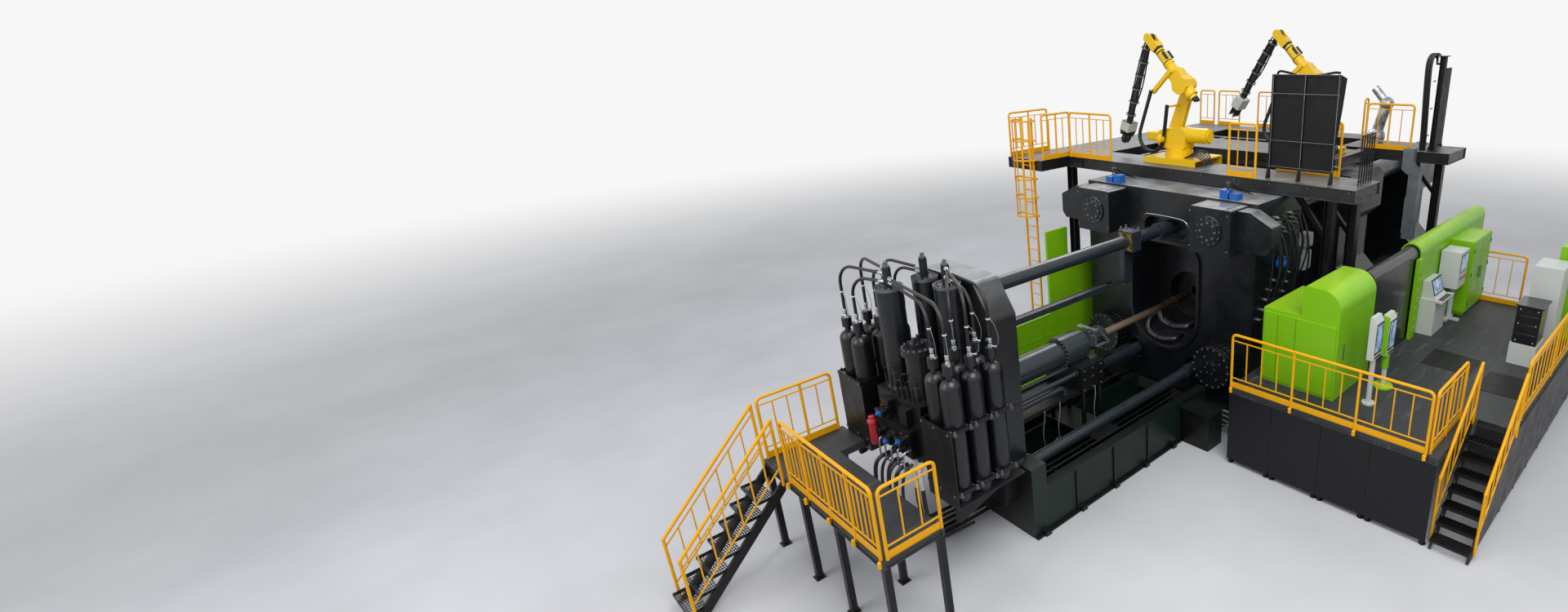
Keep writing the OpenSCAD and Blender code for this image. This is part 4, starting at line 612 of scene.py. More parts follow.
# Manifold face: filter bottle, solenoid valves, short pipes and the hoses that leave it
manifold = {
    "filter": (-6.62, 0.42, 2.27),
    "bottle": [(0, 0.062), (0.02, 0.075), (0.06, 0.078), (0.065, 0.066), (0.38, 0.066), (0.42, 0.058),
               (0.445, 0.035), (0.45, 0.015)],
    "cap": [(0, 0.05), (0.04, 0.05), (0.05, 0.03)],
    "valves": [(-6.56, 0.12, 1.98), (-6.56, 0.22, 2.42), (-6.56, -0.24, 2.10)],
    "elbows": [(-6.42, -0.30), (-6.40, -0.44)],
}
manifoldRoutes = {
    "pipe": [(-6.50, 0, 1.95), (-6.57, 0, 1.95), (-6.60, 0, 1.90), (-6.60, 0.02, 1.70), (-6.55, 0.04, 1.58),
             (-6.42, 0.05, 1.54)],
    "elbow": [(0.16, 0, 1.56), (0.13, -0.01, 1.66), (0.03, -0.02, 1.71), (-0.04, -0.03, 1.62),
              (-0.04, -0.04, 1.48), (-0.04, -0.04, 1.30)],
    "drain": [(-0.04, -0.04, 1.30), (-0.04, -0.05, 1.0), (0.02, -0.02, 0.6), (0.2, 0.1, 0.25),
              (0.7, 0.2, 0.10), (1.3, 0.2, 0.08)],
    "portLine": [(-6.36, 0, 2.76), (-6.37, -0.03, 2.85), (-6.33, -0.10, 2.88), (-6.28, -0.14, 2.80)],
}
filterMesh = bmesh.new()
addTurned(filterMesh, manifold["filter"], (0, 0, -1), manifold["bottle"], 28)
addTurned(filterMesh, manifold["filter"], toTop, manifold["cap"])
makePiece("filterBottle", filterMesh, filterRed)
valveMesh = bmesh.new()
coilMesh = bmesh.new()
pipeMesh = bmesh.new()
for x, y, z in manifold["valves"]:
    addBox(coilMesh, (x - 0.03, y - 0.09, z - 0.05), (x + 0.06, y + 0.09, z + 0.05))
    addTurned(coilMesh, (x + 0.01, y + 0.09, z), toFarSide, [(0, 0.03), (0.07, 0.03), (0.08, 0.02)], 16)
    addBox(valveMesh, (x - 0.055, y - 0.055, z - 0.035), (x - 0.028, y + 0.055, z + 0.035))
    addTurned(valveMesh, (x - 0.05, y, z), toShotEnd, [(0, 0.026), (0.03, 0.026), (0.038, 0.018)], 12)
    addBoltRing(pipeMesh, (x + 0.06, y, z + 0.01), toShotEnd, 0.10, 4, 0.008, 0.785)
for i in range(5):
    y = -0.35 + 0.17 * i
    addRoute(pipeMesh, moved(manifoldRoutes["pipe"], y=y), 0.014, 5)
    addTurned(pipeMesh, (-6.50, y, 1.95), toShotEnd, [(0, 0.024), (0.03, 0.024), (0.035, 0.018)], 6)
makePiece("valveCaps", valveMesh, valveBlue, bevel=0.003)
makePiece("valveCoils", coilMesh, bedBlack, bevel=0.003)
makePiece("manifoldPipes", pipeMesh, fittingSteel)
elbowMesh = bmesh.new()
lowHoseMesh = bmesh.new()
for x, y in manifold["elbows"]:
    addRoute(elbowMesh, moved(manifoldRoutes["elbow"], x, y), 0.036, 7, 14)
    addBand(elbowMesh, (x - 0.04, y - 0.04, 1.42), toTop, 0.035, 0.042, 0.03, 24)
    addRoute(lowHoseMesh, moved(manifoldRoutes["drain"], x, y), 0.032, 8, 12)
makePiece("whiteElbows", elbowMesh, sleeveWhite)
for i in range(6):
    y = -0.36 + 0.13 * i
    out = 0.05 + 0.035 * (i % 3)
    path = [(-6.48, y, 1.72 - 0.05 * (i % 2)), (-6.58 - out, y, 1.62), (-6.64 - out, y + 0.02, 1.35),
            (-6.62 - out, y + 0.04, 0.95), (-6.50, y + 0.05, 0.45), (-6.25, y + 0.04, 0.16),
            (-5.5, y + 0.02, 0.07)]
    addRoute(lowHoseMesh, path, 0.024 + 0.008 * (i % 2), 7, 12)
makePiece("manifoldHoses", lowHoseMesh, hoseRubber)
smallMesh = bmesh.new()
for i in range(6):
    y = -0.42 + 0.14 * i
    lift = 0.10 + 0.07 * (i % 3)
    port = [(0, 0.022), (0.03, 0.022), (0.034, 0.014), (0.06 + lift, 0.014)]
    addTurned(smallMesh, (-6.36, y, 2.70), toTop, port, 8)
    path = moved(manifoldRoutes["portLine"], 0.0, y, lift) + [(-6.27, y - 0.15, 2.70)]
    addRoute(smallMesh, path, 0.008, 6, 8)
makePiece("portLines", smallMesh, hoseRubber)
print("manifold dressed")

# Shot unit: end bracket at the gland, guide rail to the platen, signal cables, pipes along the bed
glandBracket = {
    "rib": [(-2.34, 2.52), (-2.29, 2.52), (-2.00, 2.20), (-2.05, 2.18)], "highlightStripYs": (-0.31, -0.25),
    "plates": [((-2.40, -0.31, 2.155), (-2.00, -0.25, 2.185)),
               ((-2.40, -0.31, 2.155), (-2.36, -0.20, 2.40)),
               ((-2.36, -0.26, 2.46), (-2.28, 0.20, 2.49)), ((-2.54, -0.30, 1.985), (-2.36, 0.30, 2.005))],
}
shotMesh = bmesh.new()
addSlab(shotMesh, glandBracket["rib"], *glandBracket["highlightStripYs"], lambda a, b, y: Vector((a, y, b)))
addBoxes(shotMesh, glandBracket["plates"])
addBolts(shotMesh, (-2.32,), (-0.20, 0.14), (2.49,), toTop, 0.012)
makePiece("glandBracket", shotMesh, fittingSteel, bevel=0.002)
guideRail = {"y": 0.85, "z": 2.63, "x0": -4.82, "step": -0.6, "x1": 0.10, "width": 0.10, "height": 0.12}
railMesh = bmesh.new()
railY = guideRail["y"]
railZ = guideRail["z"]
addBox(railMesh, (guideRail["x0"], railY, railZ),
       (guideRail["step"], railY + guideRail["width"], railZ + guideRail["height"]))
addBox(railMesh, (guideRail["step"], railY + 0.02, railZ + 0.03),
       (guideRail["x1"], railY + 0.06, railZ + 0.07))
for x in (guideRail["x0"], -0.02):
    addBox(railMesh, (x, railY - 0.05, railZ - 0.05), (x + 0.03, railY + 0.15, railZ + 0.17))
makePiece("guideRail", railMesh, bedBlack, bevel=0.003)
# Each cable: x and y of its loop, and how far the loop hangs lower
signalCables = {"places": [(-3.95, -0.46, 0.0), (-3.62, -0.50, 0.06), (-2.75, -0.55, 0.1)], "radius": 0.007}
cableMesh = bmesh.new()
for x, y, drop in signalCables["places"]:
    path = [(x + 0.10, y + 0.05, 1.55), (x + 0.03, y - 0.02, 1.42), (x - 0.06, y - 0.06, 1.15),
            (x - 0.04, y - 0.08, 0.90), (x + 0.10, y - 0.06, 0.80 - drop), (x + 0.32, y, 0.86 - drop),
            (x + 0.45, y + 0.05, 0.80)]
    addRoute(cableMesh, path, signalCables["radius"], 8, 8)
makePiece("signalCables", cableMesh, zincSheet)
bedPipes = {"ys": (-0.98, -0.90, -0.72, 0.62, 0.72), "z": 0.64, "stops": (-4.70, -3.10, -1.60, -0.55),
            "radius": 0.022, "clips": (-4.2, -3.3, -1.9, -1.0)}
bedPipeMesh = bmesh.new()
for i, y in enumerate(bedPipes["ys"]):
    z = bedPipes["z"] + 0.04 * (i % 2)
    addRoute(bedPipeMesh, [(x, y, z) for x in bedPipes["stops"]], bedPipes["radius"], 4)
    for x in bedPipes["clips"]:
        addBox(bedPipeMesh, (x, y - 0.034, z - 0.03), (x + 0.04, y + 0.034, z + 0.03))
makePiece("bedPipes", bedPipeMesh, bedBlack)
boxPipes = {
    "count": 4, "z": 0.22, "pitch": 0.11, "radius": 0.030,
    "nut": [(0, 0.045), (0.05, 0.045), (0.06, 0.036)],
    "bend": [(-0.68, -1.62, 0), (-0.52, -1.62, 0), (-0.42, -1.66, -0.02), (-0.38, -1.78, -0.03)],
    "run": [(-0.38, -2.10, -0.05), (-0.38, -2.44, -0.08)],
}
boxPipeMesh = bmesh.new()
for i in range(boxPipes["count"]):
    z = boxPipes["z"] + boxPipes["pitch"] * i
    path = moved(boxPipes["bend"], y=-0.05 * i, z=z) + moved(boxPipes["run"], z=z)
    addRoute(boxPipeMesh, path, boxPipes["radius"], 6, 12)
    addTurned(boxPipeMesh, (-0.70, -1.62 - 0.05 * i, z), toClampEnd, boxPipes["nut"], 6)
makePiece("boxPipes", boxPipeMesh, zincSheet)
print("shot unit dressed")

# Platen recess: oil pipe elbows, the small pipe over the upper column
recess = {
    "elbows": [(0.42, 1.46), (0.08, 1.84)], "elbowRadius": 0.068,
    "elbow": [(0.55, 0.14, 0.26), (0.30, 0.12, 0.24), (0.16, 0.08, 0.12), (0.13, 0, 0),
              (0.13, -0.22, -0.07), (0.13, -0.45, -0.06), (0.20, -0.62, -0.02), (0.42, -0.66, 0)],
    "line": [(0.11, 0.56, 4.05), (0.07, 0.50, 4.14), (0.07, 0.35, 4.17), (0.07, -0.20, 4.17),
             (0.07, -0.50, 4.14), (0.07, -0.60, 4.06), (0.11, -0.62, 3.96)],
}
recessMesh = bmesh.new()
for y, z in recess["elbows"]:
    addRoute(recessMesh, moved(recess["elbow"], 0.0, y, z), recess["elbowRadius"], 8, 16)
    addBand(recessMesh, (0.13, y - 0.20, z - 0.065), toOperator, recess["elbowRadius"], 0.082, 0.05, 28)
makePiece("recessPipes", recessMesh, castGraphite)
recessLine = bmesh.new()
addRoute(recessLine, recess["line"], 0.012)
makePiece("recessLine", recessLine, fittingSteel)

# Hoses, boxes and a motor on the platen's near flank, thin hoses on its top
flank = {
    "hoses": 11, "x": 0.30, "pitch": 0.13,
    "nut": [(0, 0.034), (0.03, 0.034), (0.034, 0.026), (0.06, 0.026)],
    "boxes": [(1.88, 3.02, 0.40), (1.92, 3.50, 0.28)],
    "motor": [(0, 0.09), (0.02, 0.11), (0.05, 0.11), (0.06, 0.085), (0.20, 0.085), (0.22, 0.06)],
}
flankMesh = bmesh.new()
flankFittings = bmesh.new()
for i in range(flank["hoses"]):
    x = flank["x"] + flank["pitch"] * i
    topZ = 4.30 - 0.12 * (i % 4)
    lowZ = 2.35 + 0.17 * (i % 5)
    sway = 0.10 + 0.05 * (i % 3)
    path = [(x, -2.16, topZ), (x + 0.03, -2.16 - sway, topZ + 0.03),
            (x + 0.08, -2.18 - sway * 1.5, topZ - 0.3), (x + 0.10, -2.18 - sway * 1.7, (topZ + lowZ) / 2),
            (x + 0.05, -2.17 - sway, lowZ + 0.1), (x + 0.02, -2.16, lowZ)]
    addRoute(flankMesh, path, 0.018 + 0.006 * (i % 2))
    for z in (topZ, lowZ):
        addTurned(flankFittings, (x, -2.15, z), toOperator, flank["nut"], 6)
makePiece("flankHoses", flankMesh, hoseRubber)
makePiece("flankFittings", flankFittings, fittingSteel)
boxMesh = bmesh.new()
for x, z, height in flank["boxes"]:
    addBox(boxMesh, (x - 0.13, -2.33, z), (x + 0.13, -2.14, z + height))
    addBox(boxMesh, (x - 0.14, -2.335, z + 0.03), (x + 0.14, -2.325, z + height - 0.03))
makePiece("junctionBoxes", boxMesh, consoleGrey, bevel=0.006)
motorMesh = bmesh.new()
addTurned(motorMesh, (0.95, -2.15, 3.36), toOperator, flank["motor"], 24)
addBox(motorMesh, (0.87, -2.30, 3.40), (1.03, -2.18, 3.50))
makePiece("flankMotor", motorMesh, valveBlue, bevel=0.003)
valveHoses = {"count": 8, "x": 0.18, "pitch": 0.024, "z": 4.80, "radius": 0.008,
              "nipple": [(0, 0.012), (0.03, 0.012), (0.032, 0.008), (0.05, 0.008)]}
topHoses = bmesh.new()
topFittings = bmesh.new()
for side, i in product((-1, 1), range(valveHoses["count"])):
    x = valveHoses["x"] + valveHoses["pitch"] * i
    y = side * clampBolts["tieY"] + 0.02 + 0.02 * i
    z = valveHoses["z"]
    addTurned(topFittings, (x, y, z), toTop, valveHoses["nipple"], 8)
    path = [(x, y, z + 0.05), (x + 0.01, y, z + 0.12), (x + 0.12, y + 0.05 * (i % 3), z + 0.16),
            (x + 0.35, y + 0.04 * i - 0.1, z + 0.04), (x + 0.55, y + 0.06 * i - 0.2, z - 0.10)]
    addRoute(topHoses, path, valveHoses["radius"], 6, 8)
makePiece("valveHoses", topHoses, hoseRubber)
makePiece("valveNipples", topFittings, fittingSteel)
print("platen dressed")

# Robots: bundles of three hoses from arm to forearm, hoses round the lances, collars and caps
robots = {
    "ladle": {"place": Vector((1.92, 1.0, 5.08)), "swing": 18.4, "reach": 2.0},
    "spray": {"place": Vector((4.50, -0.75, 5.08)), "swing": 31.2, "reach": 1.75},
}
linkage = {"shoulder": Vector((0, 0.32, 0.38)), "arm": 1.24, "lean": 20, "forearm": 1.365, "rise": 46}
dressPack = {"x": -0.26, "middle": (0.60, 0.42), "bend": 0.35, "nearAngle": 187.6, "farAngle": 20.0,
             "nearLeg": 0.76, "farLeg": 0.947, "hose": 0.0205,
             # (sideways, outward, sway) of each hose
             "hoses": [(-0.023, -0.014, 0.004), (0.023, -0.014, -0.004), (0.0, 0.026, 0.005)]}
lean = math.radians(linkage["lean"])
rise = math.radians(linkage["rise"])
shoulder = linkage["shoulder"]
elbow = shoulder + linkage["arm"] * Vector((0, -math.sin(lean), math.cos(lean)))
wrist = elbow + linkage["forearm"] * Vector((0, math.cos(rise), math.sin(rise)))


def dressPath(place, sideways, outward, sway):
    radius = dressPack["bend"] + outward
    midY, midZ = dressPack["middle"]
    near = math.radians(dressPack["nearAngle"])
    far = math.radians(dressPack["farAngle"])
    points = []
    for i in range(9):
        back = dressPack["nearLeg"] * (1 - i / 9)
        points.append((midY + radius * math.cos(near) + back * math.sin(near),
                       midZ + radius * math.sin(near) - back * math.cos(near)))
    for i in range(25):
        angle = near + (far + 2 * math.pi - near) * i / 24
        points.append((midY + radius * math.cos(angle), midZ + radius * math.sin(angle)))
    for i in range(1, 11):
        ahead = dressPack["farLeg"] * i / 10
        points.append((midY + radius * math.cos(far) - ahead * math.sin(far),
                       midZ + radius * math.sin(far) + ahead * math.cos(far)))
    last = len(points) - 1
    return [place + Vector((dressPack["x"] + sideways + sway * math.sin(math.pi * i / last * 3), y, z))
            for i, (y, z) in enumerate(points)]


# Arm and turret: caps and bolts over the shoulder and the elbow, the motor beside the turret
armCaps = [
    {"at": shoulder, "ring": (0.135, 10, 0.014), "cap": [(0, 0.09), (0.025, 0.09), (0.035, 0.06)]},
    {"at": elbow, "ring": (0.10, 8, 0.012), "cap": [(0, 0.07), (0.02, 0.07), (0.03, 0.05)]},
]
turretMotor = [(0, 0.10), (0.06, 0.10), (0.07, 0.085), (0.16, 0.085), (0.17, 0.07)]


def dressArm(robot, place):
    caps = bmesh.new()
    for joint in armCaps:
        foot = place + joint["at"] + Vector((0.30, 0, 0))
        addBoltRing(caps, foot, toClampEnd, *joint["ring"])
        addTurned(caps, foot, toClampEnd, joint["cap"], 24)
    makePiece(robot + "ArmCaps", caps, robotYellow, robot + "_arm")
    turretBolts = bmesh.new()
    motorFoot = place + shoulder + Vector((-0.215, 0, 0))
    addBoltRing(turretBolts, place + Vector((0, 0, 0.1885)), toTop, 0.275, 16, 0.013)
    addBoltRing(turretBolts, motorFoot, toShotEnd, 0.15, 12, 0.013)
    addTurned(turretBolts, motorFoot, toShotEnd, turretMotor, 24)
    makePiece(robot + "TurretBolts", turretBolts, robotYellow, robot + "_turret")


# Forearm: (distance from the elbow, inner radius, outer radius, width) of each collar
forearmCollars = [(0.985, 0.0995, 0.112, 0.05), (0.905, 0.0995, 0.107, 0.03), (0.615, 0.1115, 0.122, 0.02)]


def dressForearm(robot, place):
    climb = Matrix.Translation(place + elbow) @ Matrix.Rotation(rise, 4, "X")
    ahead = climb.to_3x3() @ Vector((0, 1, 0))
    collars = bmesh.new()
    bolts = bmesh.new()
    for distance, inner, outer, height in forearmCollars:
        addBand(collars, climb @ Vector((0, distance, 0)), ahead, inner, outer, height, 40)
    addBoltRing(bolts, climb @ Vector((0, 0.329, 0)), -ahead, 0.142, 10, 0.010)
    addBoltRing(bolts, place + wrist + Vector((0.162, 0, 0)), toClampEnd, 0.05, 6, 0.009)
    for side in (-1, 1):
        addTurned(collars, climb @ Vector((0.05 * side, -0.40, 0.03)), -ahead,
                  [(0, 0.042), (0.09, 0.042), (0.10, 0.03)])
        addBox(collars, (0.10 * side - 0.03, 0.66, 0.098), (0.10 * side + 0.03, 0.86, 0.125), climb)
        addBoltRing(bolts, place + wrist + Vector((0.112 * side, 0, 0)), (side, 0, 0), 0.084, 8, 0.008)
    makePiece(robot + "ForearmCollars", collars, bedBlack, robot + "_forearm")
    makePiece(robot + "ForearmBolts", bolts, robotYellow, robot + "_forearm")


# Lance: hoses that wander round the sleeve, held by clips
lanceHoses = {"count": 4, "radius": 0.017, "spread": 0.073, "swell": 0.035, "twist": 1.6, "clips": 6}
# Casing of each tool: half sizes, lowest and highest z from the lance's end, and its side bolts
toolCasing = {
    "spray": {"half": (0.178, 0.118), "low": 0.225, "high": 0.045, "boltX": 0.1785, "boltZ": 0.09,
              "ring": (0.075, 6, 0.010)},
    "ladle": {"half": (0.16, 0.126), "low": 0.17, "high": 0.04, "boltX": 0.161, "boltZ": 0.06,
              "ring": (0.07, 6, 0.012)},
}
nozzle = [(0, 0.016), (0.02, 0.016), (0.03, 0.008), (0.045, 0.006)]


def dressTool(robot, place, swing, length):
    hang = Matrix.Translation(place + wrist) @ Matrix.Rotation(math.radians(swing), 4, "X")
    turn = hang.to_3x3()

    def at(x, y, z):
        return hang @ Vector((x, y, z))

    hoses = bmesh.new()
    clips = bmesh.new()
    for k in range(lanceHoses["count"]):
        path = []
        for i in range(49):
            share = i / 48
            angle = k * math.pi / 2 + lanceHoses["twist"] * share + 0.25 * math.sin(5 * share + k)
            wander = 0.7 + 0.3 * math.sin(4 * share + 2 * k)
            swell = lanceHoses["spread"] + lanceHoses["swell"] * math.sin(math.pi * share) * wander
            path.append(at(swell * math.cos(angle), 0.02 + swell * math.sin(angle),
                           -0.12 - (length - 0.20) * share))
        addHose(hoses, path, lanceHoses["radius"])
    for i in range(lanceHoses["clips"]):
        z = -0.25 - (length - 0.45) * i / 5
        addBand(clips, at(0, 0.02, z), turn @ Vector(toTop), 0.118, 0.124, 0.03, 28)
    makePiece(robot + "LanceHoses", hoses, hoseRubber, robot + "_tool")
    makePiece(robot + "LanceClips", clips, boltDark, robot + "_tool")
    casing = toolCasing[robot]
    halfX, halfY = casing["half"]
    head = bmesh.new()
    addBox(head, (-halfX, -halfY, -length - casing["low"]), (halfX, halfY, -length + casing["high"]), hang)
    for side in (-1, 1):
        foot = at(casing["boltX"] * side, 0, -length - casing["boltZ"])
        addBoltRing(head, foot, (side, 0, 0), *casing["ring"])
    makePiece(robot + "ToolCasing", head, consoleGrey, robot + "_tool", bevel=0.008)
    ends = bmesh.new()
    if robot == "spray":
        for i, y in product(range(6), (-0.06, 0.06)):
            addTurned(ends, at(-0.130 + 0.052 * i, y, -length - 0.42), turn @ Vector((0, 0, -1)), nozzle, 12)
    else:
        for side in (-1, 1):
            pin = [at(0.075 * side, y, -length - 0.28) for y in (-0.127, 0.127)]
            addRod(ends, *pin, 0.02, 14)
            addBolt(ends, pin[1], turn @ Vector(toFarSide), 0.024)
    makePiece(robot + "ToolEnds", ends, fittingSteel, robot + "_tool")


for robot, plan in robots.items():
    place = plan["place"]
    hoses = bmesh.new()
    for sideways, outward, sway in dressPack["hoses"]:
        addHose(hoses, dressPath(place, sideways, outward, sway), dressPack["hose"], 12)
    pack = makeObject(robot + "DressHoses", hoses, hoseRubber)
    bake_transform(pack)
    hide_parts(robot + "_hoses")
    dressArm(robot, place)
    dressForearm(robot, place)
    dressTool(robot, place, plan["swing"], plan["reach"])
print("robots dressed")

# Hoses that feed the robots from the platform, seated at the pedestals; the spray robot's end sooner
feedHoses = {"count": 5, "x": -0.30, "pitch": 0.07, "radius": 0.017}
feedMesh = bmesh.new()
for robot, plan in robots.items():
    place = plan["place"]
    for k in range(feedHoses["count"]):
        x = place.x + feedHoses["x"] + feedHoses["pitch"] * k
        path = [(x, place.y - 0.34, place.z - 0.01), (x, place.y - 0.52, place.z + 0.06 + 0.02 * k),
                (x + 0.02, place.y - 0.78, place.z + 0.02 + 0.02 * k)]
        if robot == "spray":
            path += [(x + 0.03, place.y - 0.86, place.z - 0.10)]
        else:
            path += [(x + 0.03, place.y - 0.90, place.z - 0.16), (x + 0.03, place.y - 0.93, place.z - 0.30)]
        addRoute(feedMesh, path, feedHoses["radius"])
makePiece("feedHoses", feedMesh, hoseRubber)

# Near spray screen: curved conduit along its top, the flared edge, and thin light strips
# on the rib edges that stand for painted highlights
screen = {
    "y0": -2.97, "y1": -1.65, "x": 1.254, "highlightStripZs": (5.185, 5.685, 6.555, 6.895),
    "highlightStripYs": (-2.98, -2.33, -1.68),
    "conduit": [(1.33, -1.70, 6.86), (1.31, -1.76, 6.95), (1.30, -1.95, 6.93), (1.30, -2.25, 6.865),
                (1.30, -2.55, 6.885), (1.30, -2.85, 6.935), (1.30, -2.96, 6.93)],
    "flare": [(-2.985, 6.90), (-3.10, 6.84), (-3.06, 6.30), (-2.985, 5.60)], "flareX": (1.288, 1.294),
}
screenMesh = bmesh.new()
addRoute(screenMesh, screen["conduit"], 0.022, 8, 12)
makePiece("screenConduit", screenMesh, screenBlack)
# Painted highlights: thin light strips along the edges of the screen's ribs
ribOrHighlightStripMesh = bmesh.new()
for z in screen["highlightStripZs"]:
    addBox(ribOrHighlightStripMesh, (screen["x"], screen["y0"], z), (screen["x"] + 0.008, screen["y1"], z + 0.006))
for y in screen["highlightStripYs"]:
    addBox(ribOrHighlightStripMesh, (screen["x"], y, 5.17), (screen["x"] + 0.006, y + 0.008, 6.88))
makePiece("screenRibHighlights", ribOrHighlightStripMesh, zincSheet)
flareMesh = bmesh.new()
addSlab(flareMesh, screen["flare"], *screen["flareX"], lambda a, b, x: Vector((x, a, b)))
makePiece("screenFlare", flareMesh, screenBlack, bevel=0.002)

# Far mast: three hoses that loop over its top, and the clips that hold them
mast = {
    "hoses": 3, "pitch": 0.05, "radius": 0.026, "clipZs": (5.3, 5.9, 6.5),
    "route": [(6.36, -3.02, 6.86), (6.28, -3.02, 7.00), (6.16, -2.98, 7.09), (6.03, -2.94, 7.04),
              (5.98, -2.92, 6.85), (5.99, -2.93, 6.4), (6.03, -2.95, 5.8), (6.08, -2.96, 5.3),
              (6.10, -2.96, 4.96)],
    "straps": [((6.13, -3.00, 7.045), (6.19, -2.84, 7.055)), ((6.13, -3.04, 6.90), (6.19, -3.00, 7.055))],
}
mastMesh = bmesh.new()
for k in range(mast["hoses"]):
    addRoute(mastMesh, moved(mast["route"], y=mast["pitch"] * k), mast["radius"], 7, 12)
makePiece("mastHoses", mastMesh, hoseRubber)
strapMesh = bmesh.new()
addBoxes(strapMesh, mast["straps"])
for z in mast["clipZs"]:
    addBox(strapMesh, (6.00 + 0.06 * (6.5 - z), -3.005, z), (6.16, -2.985, z + 0.03))
makePiece("mastClips", strapMesh, fittingSteel, bevel=0.002)
print("screens dressed")

# Operator platform: ribbed mats
mats = {"places": [(1.95, 2.80, -5.66, -4.76), (1.50, 2.40, -6.66, -5.86)], "deck": 1.600, "sheet": 0.006,
        "ribPitch": 0.045, "ribWidth": 0.022}
matMesh = bmesh.new()
matTop = mats["deck"] + mats["sheet"]
for x0, x1, y0, y1 in mats["places"]:
    addBox(matMesh, (x0, y0, mats["deck"]), (x1, y1, matTop))
    for i in range(int((x1 - x0) / mats["ribPitch"])):
        x = x0 + 0.012 + i * mats["ribPitch"]
        addBox(matMesh, (x, y0 + 0.02, matTop), (x + mats["ribWidth"], y1 - 0.02, matTop + 0.006))
makePiece("standingMats", matMesh, hoseRubber)

# Consoles: sloped desk with its keys, two pendants and the cabinet's display with its buttons
consoles = {
    "desk": (3.70, -4.375, 2.595), "deskTilt": -16.2, "keyX": 3.42, "keyPitch": 0.045, "keyRows": 3,
    "pendants": [(-0.21, -4.66, 3.22), (0.55, -4.60, 3.02)], "pendantHalf": 0.13,
    "pendantKey": [(0, 0.014), (0.02, 0.014)],
    "button": [(0, 0.017), (0.012, 0.017), (0.014, 0.011), (0.026, 0.011)],
    "deskButton": [(0, 0.014), (0.012, 0.014), (0.014, 0.01), (0.022, 0.01)],
}
displayMesh = bmesh.new()
frameMesh = bmesh.new()
buttonMesh = bmesh.new()
keyMesh = bmesh.new()
slope = (Matrix.Translation(Vector(consoles["desk"]))
         @ Matrix.Rotation(math.radians(consoles["deskTilt"]), 4, "X"))
addBox(displayMesh, (-0.24, -0.018, -0.13), (0.24, -0.012, 0.15), slope)
addBox(frameMesh, (-0.27, -0.012, -0.16), (0.27, 0.012, 0.18), slope)
for i, row in product(range(12), range(consoles["keyRows"])):
    x = consoles["keyX"] + consoles["keyPitch"] * i
    addBox(keyMesh, (x, -4.60 + 0.035 * row, 2.381), (x + 0.03, -4.575 + 0.035 * row, 2.388))
half = consoles["pendantHalf"]
for x, y, top in consoles["pendants"]:
    addBox(displayMesh, (x - half + 0.01, y - 0.068, top - 0.62), (x + half - 0.01, y - 0.062, top - 0.14))
    addBox(frameMesh, (x - half - 0.012, y - 0.064, top - 0.66), (x + half + 0.012, y - 0.05, top - 0.11))
    for i in range(4):
        addTurned(keyMesh, (x - 0.09 + 0.06 * i, y - 0.06, top - 0.71), toOperator,
                  consoles["pendantKey"], 12)
    addBoltRing(frameMesh, (x, y, 1.63), toTop, 0.088, 6, 0.008)
addBox(displayMesh, (4.32, -4.608, 2.78), (4.72, -4.602, 3.10))
addBox(frameMesh, (4.29, -4.605, 2.75), (4.75, -4.598, 3.13))
for i in range(6):
    addTurned(buttonMesh, (4.34 + 0.07 * i, -4.60, 2.62), toOperator, consoles["button"], 14)
    addTurned(buttonMesh, (3.42 + 0.055 * i, -4.49, 2.30), toOperator, consoles["deskButton"], 12)

# Shell of the lime pendant: side and back plates, foot plate and sleeve
limePendant = {
    "x": 0.55, "y": -4.60, "sleeve": (0.0455, 0.062, 0.66),
    "foot": [(0, 0.176), (0.034, 0.176), (0.04, 0.168)],
    "plates": [((0.392, -4.655, 2.28), (0.398, -4.545, 2.99)),
               ((0.702, -4.655, 2.28), (0.708, -4.545, 2.99)),
               ((0.392, -4.540, 2.26), (0.708, -4.534, 3.018))],
}
shellMesh = bmesh.new()
addBoxes(shellMesh, limePendant["plates"])
addTurned(shellMesh, (limePendant["x"], limePendant["y"], 1.60), toTop, limePendant["foot"], 40)
addBand(shellMesh, (limePendant["x"], limePendant["y"], 1.98), toTop, *limePendant["sleeve"], 24)
makePiece("limePendant", shellMesh, guardLime, bevel=0.002)
makePiece("displays", displayMesh, screenGlass)
makePiece("displayFrames", frameMesh, doorBlack, bevel=0.002)
makePiece("keys", keyMesh, bedBlack)
makePiece("pushButtons", buttonMesh, filterRed)

# The black unit on its grey base: body, lid, vents and screws
blackUnit = {
    "body": [((3.00, -6.42, 2.02), (3.53, -6.01, 2.76)), ((2.97, -6.45, 2.76), (3.56, -5.98, 2.79))],
    "ventZs": (2.12, 2.30, 2.48), "screwYs": (-6.36, -6.07), "screwZs": (2.08, 2.42, 2.70), "screw": 0.012,
}
unitMesh = bmesh.new()
addBoxes(unitMesh, blackUnit["body"])
for z in blackUnit["ventZs"]:
    addBox(unitMesh, (2.992, -6.38, z), (3.0, -6.05, z + 0.11))
makePiece("blackUnit", unitMesh, doorBlack, bevel=0.01)
unitScrews = bmesh.new()
addBolts(unitScrews, (3.0,), blackUnit["screwYs"], blackUnit["screwZs"], toShotEnd, blackUnit["screw"])
makePiece("unitScrews", unitScrews, fittingSteel)

